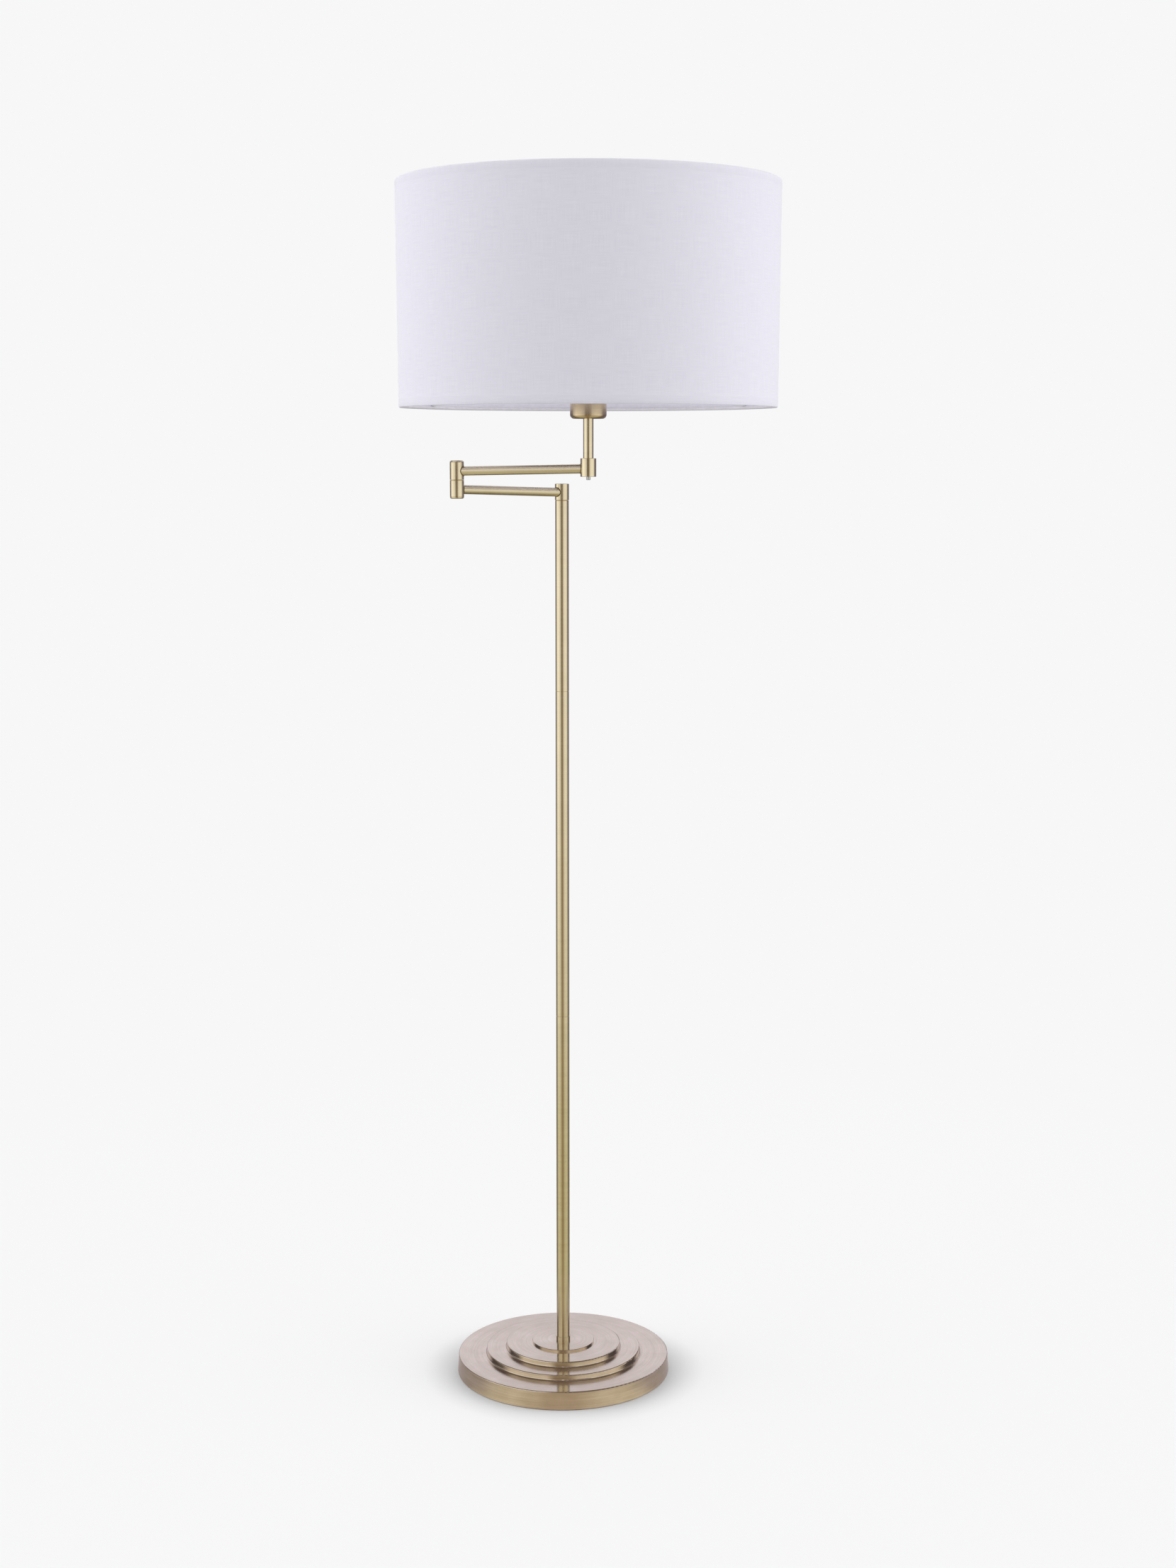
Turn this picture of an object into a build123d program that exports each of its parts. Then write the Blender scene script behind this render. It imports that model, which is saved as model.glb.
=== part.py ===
"""Swing-arm floor lamp: stepped round base, three-piece pole, two-arm swing, drum shade.

Millimetres, +Z up. The origin is the centre of the base's underside, on the pole's axis.
The lower arm swings about the pole, and the upper arm swings about the elbow.
"""

import os
from math import cos, radians, sin

from build123d import *

# ---------------------------------------------------------------- driving dimensions
# Base, from the floor up: (radius at the top edge, radius at the foot, height of the top face)
BASE_STEPS = [(137.5, 138.8, 24.0), (100.5, 101.3, 31.0), (74.5, 75.3, 38.0)]
COVER_FOOT_Z = 1.0
COVER_SHEET = 1.2
COVER_EDGE_ROUND = 1.2
COVER_FOOT_ROUND = 1.6
FELT_THICK, FELT_RADIUS = 2.0, 133.0
WEIGHT_RADIUS, WEIGHT_TOP_Z, HUB_RADIUS = 131.0, 14.0, 34.0
WEIGHT_RECESS_RADIUS, WEIGHT_RECESS_TOP_Z = 24.0, 20.0
CABLE_GROOVE_WIDTH, CABLE_GROOVE_TOP_Z = 13.0, 11.0
TOP_DISC_RADIUS, TOP_DISC_THICK = 40.5, 2.5

# Pole: one diameter, three screwed sections
POLE_RADIUS, POLE_WALL = 8.5, 1.0
POLE_SEAMS_Z = [478.0, 900.0]
POLE_TOP_Z = 1139.7
COLLAR_RADIUS, COLLAR_HEIGHT, COLLAR_GROOVE_Z = 9.3, 5.0, 3.0
INSERT_CLEARANCE = 0.05
COUPLER_LENGTH = 44.0
NIPPLE_RADIUS, NIPPLE_BORE = 5.0, 3.5

# Swing arms: plan length between pivot axes, and heading from +X, seen from above
ARM_LENGTH = 164.0
LOWER_ARM_HEADING, UPPER_ARM_HEADING = 220.0, -14.6
ARM_RADIUS, ARM_WALL = 5.5, 1.1
BEARING_WASHER, JOINT_FREE_GAP = 0.5, 0.3
HEAD_RADIUS, HEAD_HEIGHT = 8.8, 20.4
ELBOW_RADIUS, ELBOW_BARREL_HEIGHT = 8.5, 19.5
ELBOW_SEAM_Z = 1166.1
ELBOW_CAP_HEIGHT, ELBOW_CAP_ROUND = 2.4, 2.2
BARREL_WALL, BARREL_FLOOR = 1.7, 3.0
# The arms rise a little towards their outer ends
LOWER_ARM_Z = (1150.2, 1155.4)
UPPER_ARM_Z = (1177.2, 1180.4)
PIVOT_RADIUS, PIVOT_BORE, PIVOT_RUNNING = 4.0, 2.6, 0.05
STOP_PIN_RADIUS, STOP_PIN_CIRCLE, STOP_PIN_RISE = 0.8, 5.8, 1.2
STOP_HALF_RANGE = 160.0
STOP_GROOVE_CLEARANCE = 0.35
ELBOW_SWING_MIDDLE = 35.0

# Lampholder end of the upper arm
HOLDER_BARREL_RADIUS, HOLDER_BARREL_Z = 9.4, (1170.9, 1192.7)
STEM_RADIUS, STEM_WALL = 6.1, 1.0
CUP_RADIUS, CUP_SHEET, CUP_Z = 21.7, 1.0, (1239.0, 1268.0)
CUP_ROUND = 5.0
BARREL_SCREW_RADIUS, BARREL_SCREW_DROP = 2.4, 3.9
SPIDER_Z = 1274.0
SOCKET_RADIUS, SOCKET_BODY_RADIUS = 14.2, 19.6
BULB_RADIUS, BULB_TOP_Z = 30.0, 1382.0

# Shade
SHADE_Z = (1252.0, 1512.0)
SHADE_RADIUS = (224.0, 226.0)
FABRIC_THICK, LINER_THICK = 0.7, 0.5
RING_WIRE = 1.6
SPOKE_COUNT = 3

FLEX_RADIUS = 2.0

UPPER_BARREL_HEIGHT = 20.8

# ---------------------------------------------------------------- places worked out from them
TOP_DISC_Z = BASE_STEPS[-1][2]
POLE_FOOT_Z = TOP_DISC_Z + TOP_DISC_THICK
JOINT_GAP = BEARING_WASHER + JOINT_FREE_GAP
HEAD_Z = POLE_TOP_Z + JOINT_GAP
ELBOW_X = ARM_LENGTH * cos(radians(LOWER_ARM_HEADING))
ELBOW_Y = ARM_LENGTH * sin(radians(LOWER_ARM_HEADING))
HOLDER_X = ELBOW_X + ARM_LENGTH * cos(radians(UPPER_ARM_HEADING))
HOLDER_Y = ELBOW_Y + ARM_LENGTH * sin(radians(UPPER_ARM_HEADING))
UPPER_BARREL_Z = ELBOW_SEAM_Z + JOINT_GAP
BARREL_BORE = ELBOW_RADIUS - BARREL_WALL
HEAD_BORE = HEAD_RADIUS - BARREL_WALL
HOLDER_BORE = HOLDER_BARREL_RADIUS - BARREL_WALL

HEAD_TOP = Vector(0, 0, LOWER_ARM_Z[0])
ELBOW_LOW = Vector(ELBOW_X, ELBOW_Y, LOWER_ARM_Z[1])
ELBOW_HIGH = Vector(ELBOW_X, ELBOW_Y, UPPER_ARM_Z[0])
HOLDER = Vector(HOLDER_X, HOLDER_Y, UPPER_ARM_Z[1])

os.makedirs("parts", exist_ok=True)


def save(builder, name):
    """Labels one finished piece and writes its STEP."""
    builder.part.label = name
    export_step(builder.part, f"parts/{name}.step")


def upright(x, y, z=0.0):
    """A horizontal plane whose origin is on the vertical axis through (x, y), at height z."""
    return Plane(origin=(x, y, z), x_dir=(1, 0, 0), z_dir=(0, 0, 1))


def profile_plane(x, y):
    """A vertical plane through the axis at (x, y): its X is the radius and its Y is the height."""
    return Plane(origin=(x, y, 0), x_dir=(1, 0, 0), z_dir=(0, -1, 0))


def axis_at(x, y):
    return Axis((x, y, 0), (0, 0, 1))


def ring_piece(name, plane, outer, inner, height):
    """A plain tube, washer or disc standing on a plane, saved as its own piece."""
    with BuildPart() as piece:
        with BuildSketch(plane):
            Circle(outer)
            if inner:
                Circle(inner, mode=Mode.SUBTRACT)
        extrude(amount=height)
    save(piece, name)


# ---------------------------------------------------------------- base
def step_outline(inset):
    """The cover's stepped section from the axis outwards, moved inwards by the sheet's thickness."""
    points = [(0, BASE_STEPS[-1][2] - inset)]
    for level in range(len(BASE_STEPS) - 1, -1, -1):
        top_radius, foot_radius, height = BASE_STEPS[level]
        points.append((top_radius - inset, height - inset))
        if level:
            points.append((foot_radius - inset, BASE_STEPS[level - 1][2] - inset))
    points.append((BASE_STEPS[0][1] - inset, COVER_FOOT_Z))
    return points


def stepped_body(inset, edge_round, foot_round):
    """The solid under the stepped outline, as a revolved section with rounded edges and feet."""
    points = step_outline(inset)
    radii = [foot_round if n % 2 else edge_round for n in range(len(points) - 2)]
    with BuildPart() as body:
        with BuildSketch(Plane.XZ):
            with BuildLine():
                FilletPolyline(*points, radius=radii)
                Polyline(points[-1], (0, COVER_FOOT_Z), points[0])
            make_face()
        revolve(axis=Axis.Z)
    return body.part


cover_outside = stepped_body(0.0, COVER_EDGE_ROUND, COVER_FOOT_ROUND)
cover_inside = stepped_body(COVER_SHEET, COVER_EDGE_ROUND * 0.5, COVER_FOOT_ROUND + COVER_SHEET)
CABLE_INLET_Z = 9.0
BUSH_NECK_RADIUS, BUSH_FLANGE_RADIUS, BUSH_BORE = 5.0, 7.0, 3.5
BUSH_FLANGE_THICK, BUSH_NECK_LENGTH = 1.6, 7.0
COVER_WALL_Y = BASE_STEPS[0][1] - COVER_SHEET
INLET_PLANE = Plane(origin=(0, COVER_WALL_Y - 1.0, CABLE_INLET_Z), x_dir=(1, 0, 0), z_dir=(0, 1, 0))

with BuildPart() as base_cover:
    add(cover_outside)
    add(cover_inside, mode=Mode.SUBTRACT)
    with BuildSketch(Plane.XY.offset(COVER_FOOT_Z)):
        Circle(NIPPLE_RADIUS + 0.2)
    extrude(amount=TOP_DISC_Z, mode=Mode.SUBTRACT)
    with BuildSketch(INLET_PLANE):
        Circle(BUSH_NECK_RADIUS)
    extrude(amount=10.0, mode=Mode.SUBTRACT)
save(base_cover, "base_cover")

with BuildPart() as base_weight:
    with BuildSketch(Plane.XY.offset(FELT_THICK)):
        Circle(WEIGHT_RADIUS)
    extrude(amount=WEIGHT_TOP_Z - FELT_THICK)
    fillet(base_weight.edges().group_by(Axis.Z)[-1], radius=3.0)
    with BuildSketch(Plane.XY.offset(WEIGHT_TOP_Z)):
        Circle(HUB_RADIUS)
    extrude(amount=TOP_DISC_Z - COVER_SHEET - WEIGHT_TOP_Z)
    with BuildSketch(Plane.XY.offset(FELT_THICK)):
        Circle(WEIGHT_RECESS_RADIUS)
    extrude(amount=WEIGHT_RECESS_TOP_Z - FELT_THICK, mode=Mode.SUBTRACT)
    with BuildSketch(Plane.XY.offset(FELT_THICK)):
        Circle(NIPPLE_RADIUS + 0.2)
    extrude(amount=TOP_DISC_Z, mode=Mode.SUBTRACT)
    with BuildSketch(Plane.XY.offset(FELT_THICK)):
        with Locations((0, WEIGHT_RADIUS / 2)):
            Rectangle(CABLE_GROOVE_WIDTH, WEIGHT_RADIUS)
    extrude(amount=CABLE_GROOVE_TOP_Z - FELT_THICK, mode=Mode.SUBTRACT)
save(base_weight, "base_weight")

ring_piece("base_felt", Plane.XY, FELT_RADIUS, 0, FELT_THICK)

with BuildPart() as top_disc:
    with BuildSketch(Plane.XY.offset(TOP_DISC_Z)):
        Circle(TOP_DISC_RADIUS)
        Circle(NIPPLE_RADIUS + 0.2, mode=Mode.SUBTRACT)
    extrude(amount=TOP_DISC_THICK)
    chamfer(top_disc.edges().group_by(Axis.Z)[-1].sort_by(SortBy.LENGTH)[-1], length=0.4)
save(top_disc, "base_top_disc")

WASHER_THICK, NUT_HEIGHT, NUT_ACROSS_FLATS = 2.0, 6.0, 17.0
NUT_TOP_Z = WEIGHT_RECESS_TOP_Z - WASHER_THICK
ring_piece("base_washer", Plane.XY.offset(NUT_TOP_Z), 14.0, NIPPLE_RADIUS + 0.2, WASHER_THICK)

with BuildPart() as base_nut:
    with BuildSketch(Plane.XY.offset(NUT_TOP_Z - NUT_HEIGHT)):
        RegularPolygon(NUT_ACROSS_FLATS / 2, 6, major_radius=False)
        Circle(NIPPLE_RADIUS, mode=Mode.SUBTRACT)
    extrude(amount=NUT_HEIGHT)
save(base_nut, "base_nut")

NIPPLE_FOOT_Z, FOOT_INSERT_LENGTH = 10.5, 24.0
NIPPLE_TOP_Z = POLE_FOOT_Z + 20.0
ring_piece("base_nipple", Plane.XY.offset(NIPPLE_FOOT_Z), NIPPLE_RADIUS, NIPPLE_BORE,
           NIPPLE_TOP_Z - NIPPLE_FOOT_Z)

with BuildPart() as cable_bush:
    with BuildSketch(Plane(origin=(0, BASE_STEPS[0][1] + 0.1, CABLE_INLET_Z),
                           x_dir=(1, 0, 0), z_dir=(0, 1, 0))):
        Circle(BUSH_FLANGE_RADIUS)
    extrude(amount=BUSH_FLANGE_THICK)
    fillet(cable_bush.edges().group_by(Axis.Y)[-1], radius=0.7)
    with BuildSketch(Plane(origin=(0, BASE_STEPS[0][1] + 0.1, CABLE_INLET_Z),
                           x_dir=(1, 0, 0), z_dir=(0, -1, 0))):
        Circle(BUSH_NECK_RADIUS - 0.05)
    extrude(amount=BUSH_NECK_LENGTH)
    with BuildSketch(Plane(origin=(0, BASE_STEPS[0][1] + 5.0, CABLE_INLET_Z),
                           x_dir=(1, 0, 0), z_dir=(0, -1, 0))):
        Circle(BUSH_BORE)
    extrude(amount=20.0, mode=Mode.SUBTRACT)
save(cable_bush, "cable_bush")

TERMINAL_SIZE, TERMINAL_Y = (10.0, 22.0, 7.5), 92.0
TERMINAL_FLOOR_Z = CABLE_GROOVE_TOP_Z - TERMINAL_SIZE[2]
TERMINAL_SCREW_RADIUS, TERMINAL_PITCH = 1.6, 8.0
with BuildPart() as terminal_block:
    with BuildSketch(Plane.XY.offset(TERMINAL_FLOOR_Z)):
        with Locations((0, TERMINAL_Y)):
            RectangleRounded(TERMINAL_SIZE[0], TERMINAL_SIZE[1], 1.0)
    extrude(amount=TERMINAL_SIZE[2])
    with BuildSketch(Plane.XY.offset(TERMINAL_FLOOR_Z)):
        with Locations((0, TERMINAL_Y)):
            with GridLocations(0, TERMINAL_PITCH, 1, 2):
                Circle(TERMINAL_SCREW_RADIUS)
    extrude(amount=2.0, mode=Mode.SUBTRACT)
save(terminal_block, "terminal_block")

# ---------------------------------------------------------------- pole
with BuildPart() as pole_collar:
    with BuildSketch(Plane.XY.offset(POLE_FOOT_Z)):
        Circle(COLLAR_RADIUS)
        Circle(POLE_RADIUS + 0.02, mode=Mode.SUBTRACT)
    extrude(amount=COLLAR_HEIGHT)
    chamfer(pole_collar.edges().group_by(Axis.Z)[-1].sort_by(SortBy.LENGTH)[-1], length=0.3)
    with BuildSketch(Plane.XY.offset(POLE_FOOT_Z + COLLAR_GROOVE_Z)):
        Circle(COLLAR_RADIUS + 1)
        Circle(COLLAR_RADIUS - 0.4, mode=Mode.SUBTRACT)
    extrude(amount=0.4, mode=Mode.SUBTRACT)
save(pole_collar, "pole_collar")

pole_ends = [POLE_FOOT_Z, *POLE_SEAMS_Z, POLE_TOP_Z]
for name, low, high in zip(("pole_lower", "pole_middle", "pole_upper"), pole_ends, pole_ends[1:]):
    with BuildPart() as section:
        with BuildSketch(Plane.XY.offset(low)):
            Circle(POLE_RADIUS)
            Circle(POLE_RADIUS - POLE_WALL, mode=Mode.SUBTRACT)
        extrude(amount=high - low)
        outer_edges = section.edges().filter_by(GeomType.CIRCLE).filter_by(
            lambda edge: abs(edge.radius - POLE_RADIUS) < 0.01)
        chamfer(outer_edges, length=0.25)
    save(section, name)

INSERT_RADIUS = POLE_RADIUS - POLE_WALL - INSERT_CLEARANCE
ring_piece("pole_foot_insert", Plane.XY.offset(POLE_FOOT_Z), INSERT_RADIUS,
           NIPPLE_RADIUS, FOOT_INSERT_LENGTH)
for name, seam in zip(("pole_coupler_lower", "pole_coupler_upper"), POLE_SEAMS_Z):
    ring_piece(name, Plane.XY.offset(seam - COUPLER_LENGTH / 2), INSERT_RADIUS, NIPPLE_RADIUS,
               COUPLER_LENGTH)

TOP_INSERT_LENGTH = 22.0
stop_heading = LOWER_ARM_HEADING + 180.0


def stop_pin_plane(x, y, z, heading):
    """Where a stop pin stands: on its pitch circle about the axis at (x, y), at that heading."""
    return upright(x + STOP_PIN_CIRCLE * cos(radians(heading)),
                   y + STOP_PIN_CIRCLE * sin(radians(heading)), z)


STOP_PIN_LENGTH = 4.0
with BuildPart() as pole_top_insert:
    with BuildSketch(Plane.XY.offset(POLE_TOP_Z - TOP_INSERT_LENGTH)):
        Circle(INSERT_RADIUS)
        Circle(PIVOT_RADIUS + PIVOT_RUNNING, mode=Mode.SUBTRACT)
    extrude(amount=TOP_INSERT_LENGTH)
    with BuildSketch(stop_pin_plane(0, 0, POLE_TOP_Z, stop_heading)):
        Circle(STOP_PIN_RADIUS)
    extrude(amount=-STOP_PIN_LENGTH, mode=Mode.SUBTRACT)
save(pole_top_insert, "pole_top_insert")


def stop_pin(name, x, y, low, rise):
    """A dowel that stands in the fixed side of a swing joint and runs in the other side's groove."""
    with BuildPart() as pin:
        with BuildSketch(stop_pin_plane(x, y, low, stop_heading)):
            Circle(STOP_PIN_RADIUS)
        extrude(amount=rise)
    save(pin, name)


def bearing_washer(name, x, y, z):
    """The bronze thrust washer between the two halves of a swing joint, pierced for the stop pin."""
    with BuildPart() as washer:
        with BuildSketch(upright(x, y, z)):
            Circle(ELBOW_RADIUS - 0.05)
            Circle(PIVOT_RADIUS + JOINT_FREE_GAP, mode=Mode.SUBTRACT)
        extrude(amount=BEARING_WASHER)
        with BuildSketch(stop_pin_plane(x, y, z, stop_heading)):
            Circle(STOP_PIN_RADIUS + 0.05)
        extrude(amount=BEARING_WASHER, mode=Mode.SUBTRACT)
    save(washer, name)


PIN_RISE = STOP_PIN_LENGTH + JOINT_GAP + STOP_PIN_RISE
stop_pin("head_stop_pin", 0, 0, POLE_TOP_Z - STOP_PIN_LENGTH, PIN_RISE)
bearing_washer("head_washer", 0, 0, POLE_TOP_Z)


def stop_groove(x, y, z, middle):
    """The ring groove that the stop pin runs in, cut from a barrel's underside, less its end web."""
    track_half = STOP_PIN_RADIUS + STOP_GROOVE_CLEARANCE
    pin_offset = STOP_PIN_CIRCLE * sin(radians(180.0 - STOP_HALF_RANGE))
    web = 2 * (pin_offset - track_half)
    with BuildPart() as groove:
        with BuildSketch(upright(x, y, z)):
            Circle(STOP_PIN_CIRCLE + track_half)
            Circle(STOP_PIN_CIRCLE - track_half, mode=Mode.SUBTRACT)
            with PolarLocations(STOP_PIN_CIRCLE, 1, start_angle=middle + 180.0):
                Rectangle(3 * track_half, web, mode=Mode.SUBTRACT)
        extrude(amount=STOP_PIN_RISE + 0.4)
    return groove.part


def pivot(name, x, y, low, flange_z, high):
    """A hollow shoulder pin that the flex passes through, with its flange at flange_z."""
    with BuildPart() as pin:
        with BuildSketch(upright(x, y, low)):
            Circle(PIVOT_RADIUS)
        extrude(amount=high - low)
        with BuildSketch(upright(x, y, flange_z)):
            Circle(PIVOT_RADIUS + 1.2)
        extrude(amount=1.5)
        with BuildSketch(upright(x, y, low)):
            Circle(PIVOT_BORE)
        extrude(amount=high - low, mode=Mode.SUBTRACT)
    save(pin, name)


SPRING_WASHER, PIVOT_NUT = 0.8, 3.5


def pivot_nut(name, x, y, low):
    with BuildPart() as nut:
        with BuildSketch(upright(x, y, low)):
            RegularPolygon(5.2, 6, major_radius=False)
            Circle(PIVOT_RADIUS, mode=Mode.SUBTRACT)
        extrude(amount=PIVOT_NUT)
    save(nut, name)


# ---------------------------------------------------------------- lower arm, head, elbow's lower half
INSERT_FOOT_Z = POLE_TOP_Z - TOP_INSERT_LENGTH
SPRING_Z = INSERT_FOOT_Z - JOINT_FREE_GAP - SPRING_WASHER
NUT_FLOOR_Z = SPRING_Z - PIVOT_NUT
pivot("head_pivot", 0, 0, NUT_FLOOR_Z - 1.0, HEAD_Z + BARREL_FLOOR, HEAD_Z + BARREL_FLOOR + 1.5)
ring_piece("head_spring_washer", Plane.XY.offset(SPRING_Z), 6.4,
           PIVOT_RADIUS + 0.1, SPRING_WASHER)
pivot_nut("head_pivot_nut", 0, 0, NUT_FLOOR_Z)


def arm_cylinder(start, end, radius):
    """A solid bar along an arm's axis, from one pivot axis to the other."""
    along = end - start
    with BuildPart() as bar:
        with BuildSketch(Plane(origin=start, z_dir=along)):
            Circle(radius)
        extrude(amount=along.length)
    return bar.part


def arm(name, start, start_bore, end, end_bore):
    """An arm tube whose two ends are coped to the bores of the barrels that they enter."""
    with BuildPart() as tube:
        add(arm_cylinder(start, end, ARM_RADIUS))
        add(arm_cylinder(start, end, ARM_RADIUS - ARM_WALL), mode=Mode.SUBTRACT)
        for point, bore in ((start, start_bore), (end, end_bore)):
            with BuildSketch(upright(point.X, point.Y, point.Z - 20)):
                Circle(bore)
            extrude(amount=40, mode=Mode.SUBTRACT)
    save(tube, name)


HEAD_LID = 1.5
with BuildPart() as head_barrel:
    with BuildSketch(Plane.XY.offset(HEAD_Z)):
        Circle(HEAD_RADIUS)
    extrude(amount=HEAD_HEIGHT)
    chamfer(head_barrel.edges(), length=0.3)
    with BuildSketch(Plane.XY.offset(HEAD_Z + BARREL_FLOOR)):
        Circle(HEAD_BORE)
    extrude(amount=HEAD_HEIGHT, mode=Mode.SUBTRACT)
    with BuildSketch(Plane.XY.offset(HEAD_Z)):
        Circle(PIVOT_RADIUS)
    extrude(amount=BARREL_FLOOR, mode=Mode.SUBTRACT)
    add(arm_cylinder(HEAD_TOP, ELBOW_LOW, ARM_RADIUS), mode=Mode.SUBTRACT)
    add(stop_groove(0, 0, HEAD_Z, stop_heading), mode=Mode.SUBTRACT)
save(head_barrel, "head_barrel")
ring_piece("head_cap", Plane.XY.offset(HEAD_Z + HEAD_HEIGHT - HEAD_LID), HEAD_BORE - 0.03, 0,
           HEAD_LID)

arm("lower_arm", HEAD_TOP, HEAD_BORE, ELBOW_LOW, BARREL_BORE)

with BuildPart() as elbow_lower:
    with BuildSketch(upright(ELBOW_X, ELBOW_Y, ELBOW_SEAM_Z)):
        Circle(ELBOW_RADIUS)
    extrude(amount=-ELBOW_BARREL_HEIGHT)
    chamfer(elbow_lower.edges().group_by(Axis.Z)[-1], length=0.3)
    with BuildSketch(upright(ELBOW_X, ELBOW_Y, ELBOW_SEAM_Z - BARREL_FLOOR)):
        Circle(BARREL_BORE)
    extrude(amount=-ELBOW_BARREL_HEIGHT, mode=Mode.SUBTRACT)
    with BuildSketch(upright(ELBOW_X, ELBOW_Y, ELBOW_SEAM_Z)):
        Circle(PIVOT_RADIUS)
    extrude(amount=-BARREL_FLOOR, mode=Mode.SUBTRACT)
    with BuildSketch(stop_pin_plane(ELBOW_X, ELBOW_Y, ELBOW_SEAM_Z, stop_heading)):
        Circle(STOP_PIN_RADIUS)
    extrude(amount=-2.0, mode=Mode.SUBTRACT)
    add(arm_cylinder(HEAD_TOP, ELBOW_LOW, ARM_RADIUS), mode=Mode.SUBTRACT)
save(elbow_lower, "elbow_lower_barrel")


def elbow_cap(name, rim_z, way):
    """A pressed cap with a well rounded edge, and a spigot that enters the barrel."""
    with BuildPart() as cap:
        with BuildSketch(upright(ELBOW_X, ELBOW_Y, rim_z)):
            Circle(ELBOW_RADIUS)
        extrude(amount=way * ELBOW_CAP_HEIGHT)
        fillet(cap.edges().group_by(Axis.Z)[-1 if way > 0 else 0], radius=ELBOW_CAP_ROUND)
        with BuildSketch(upright(ELBOW_X, ELBOW_Y, rim_z)):
            Circle(BARREL_BORE - 0.03)
        extrude(amount=-way * 1.5)
    save(cap, name)


elbow_cap("elbow_bottom_cap", ELBOW_SEAM_Z - ELBOW_BARREL_HEIGHT, -1)
elbow_cap("elbow_top_cap", UPPER_BARREL_Z + UPPER_BARREL_HEIGHT, 1)

stop_pin("elbow_stop_pin", ELBOW_X, ELBOW_Y, ELBOW_SEAM_Z - 2.0,
         2.0 + JOINT_GAP + STOP_PIN_RISE)
bearing_washer("elbow_washer", ELBOW_X, ELBOW_Y, ELBOW_SEAM_Z)
ELBOW_SPRING_Z = UPPER_BARREL_Z + BARREL_FLOOR + JOINT_FREE_GAP
pivot("elbow_pivot", ELBOW_X, ELBOW_Y, ELBOW_SEAM_Z - BARREL_FLOOR - 1.5,
      ELBOW_SEAM_Z - BARREL_FLOOR - 1.5, ELBOW_SPRING_Z + SPRING_WASHER + PIVOT_NUT + 0.5)
ring_piece("elbow_spring_washer", upright(ELBOW_X, ELBOW_Y, ELBOW_SPRING_Z), 6.2,
           PIVOT_RADIUS + 0.1, SPRING_WASHER)
pivot_nut("elbow_pivot_nut", ELBOW_X, ELBOW_Y, ELBOW_SPRING_Z + SPRING_WASHER)

# ---------------------------------------------------------------- upper arm, elbow's upper half
elbow_groove_middle = stop_heading - ELBOW_SWING_MIDDLE
with BuildPart() as elbow_upper:
    with BuildSketch(upright(ELBOW_X, ELBOW_Y, UPPER_BARREL_Z)):
        Circle(ELBOW_RADIUS)
    extrude(amount=UPPER_BARREL_HEIGHT)
    chamfer(elbow_upper.edges().group_by(Axis.Z)[0], length=0.3)
    with BuildSketch(upright(ELBOW_X, ELBOW_Y, UPPER_BARREL_Z + BARREL_FLOOR)):
        Circle(BARREL_BORE)
    extrude(amount=UPPER_BARREL_HEIGHT, mode=Mode.SUBTRACT)
    with BuildSketch(upright(ELBOW_X, ELBOW_Y, UPPER_BARREL_Z)):
        Circle(PIVOT_RADIUS + PIVOT_RUNNING)
    extrude(amount=BARREL_FLOOR, mode=Mode.SUBTRACT)
    add(arm_cylinder(ELBOW_HIGH, HOLDER, ARM_RADIUS), mode=Mode.SUBTRACT)
    add(stop_groove(ELBOW_X, ELBOW_Y, UPPER_BARREL_Z, elbow_groove_middle), mode=Mode.SUBTRACT)
save(elbow_upper, "elbow_upper_barrel")

arm("upper_arm", ELBOW_HIGH, BARREL_BORE, HOLDER, HOLDER_BORE)

HOLDER_LID, HOLDER_FLOOR = 4.0, 2.5
with BuildPart() as holder_barrel:
    with BuildSketch(upright(HOLDER_X, HOLDER_Y, HOLDER_BARREL_Z[0])):
        Circle(HOLDER_BARREL_RADIUS)
    extrude(amount=HOLDER_BARREL_Z[1] - HOLDER_BARREL_Z[0])
    chamfer(holder_barrel.edges(), length=0.3)
    with BuildSketch(upright(HOLDER_X, HOLDER_Y, HOLDER_BARREL_Z[0])):
        Circle(HOLDER_BORE)
    extrude(amount=HOLDER_BARREL_Z[1] - HOLDER_BARREL_Z[0] - HOLDER_LID, mode=Mode.SUBTRACT)
    with BuildSketch(upright(HOLDER_X, HOLDER_Y, HOLDER_BARREL_Z[1])):
        Circle(NIPPLE_RADIUS)
    extrude(amount=-HOLDER_LID, mode=Mode.SUBTRACT)
    add(arm_cylinder(ELBOW_HIGH, HOLDER, ARM_RADIUS), mode=Mode.SUBTRACT)
save(holder_barrel, "holder_barrel")
ring_piece("holder_barrel_plug", upright(HOLDER_X, HOLDER_Y, HOLDER_BARREL_Z[0]),
           HOLDER_BORE - 0.03, BARREL_SCREW_RADIUS, HOLDER_FLOOR)

with BuildPart() as barrel_screw:
    with BuildSketch(upright(HOLDER_X, HOLDER_Y, HOLDER_BARREL_Z[0] - BARREL_SCREW_DROP)):
        Circle(BARREL_SCREW_RADIUS)
    extrude(amount=BARREL_SCREW_DROP + HOLDER_FLOOR)
    chamfer(barrel_screw.edges().group_by(Axis.Z)[0], length=0.4)
save(barrel_screw, "barrel_screw")

# ---------------------------------------------------------------- stem, cup and lampholder
HOLDER_AXIS = (HOLDER_X, HOLDER_Y)
ring_piece("stem_nipple", upright(*HOLDER_AXIS, HOLDER_BARREL_Z[1] - HOLDER_LID), NIPPLE_RADIUS,
           NIPPLE_BORE, HOLDER_LID + 12.0)
ring_piece("stem_tube", upright(*HOLDER_AXIS, HOLDER_BARREL_Z[1]), STEM_RADIUS,
           STEM_RADIUS - STEM_WALL, CUP_Z[0] - HOLDER_BARREL_Z[1])

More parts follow.
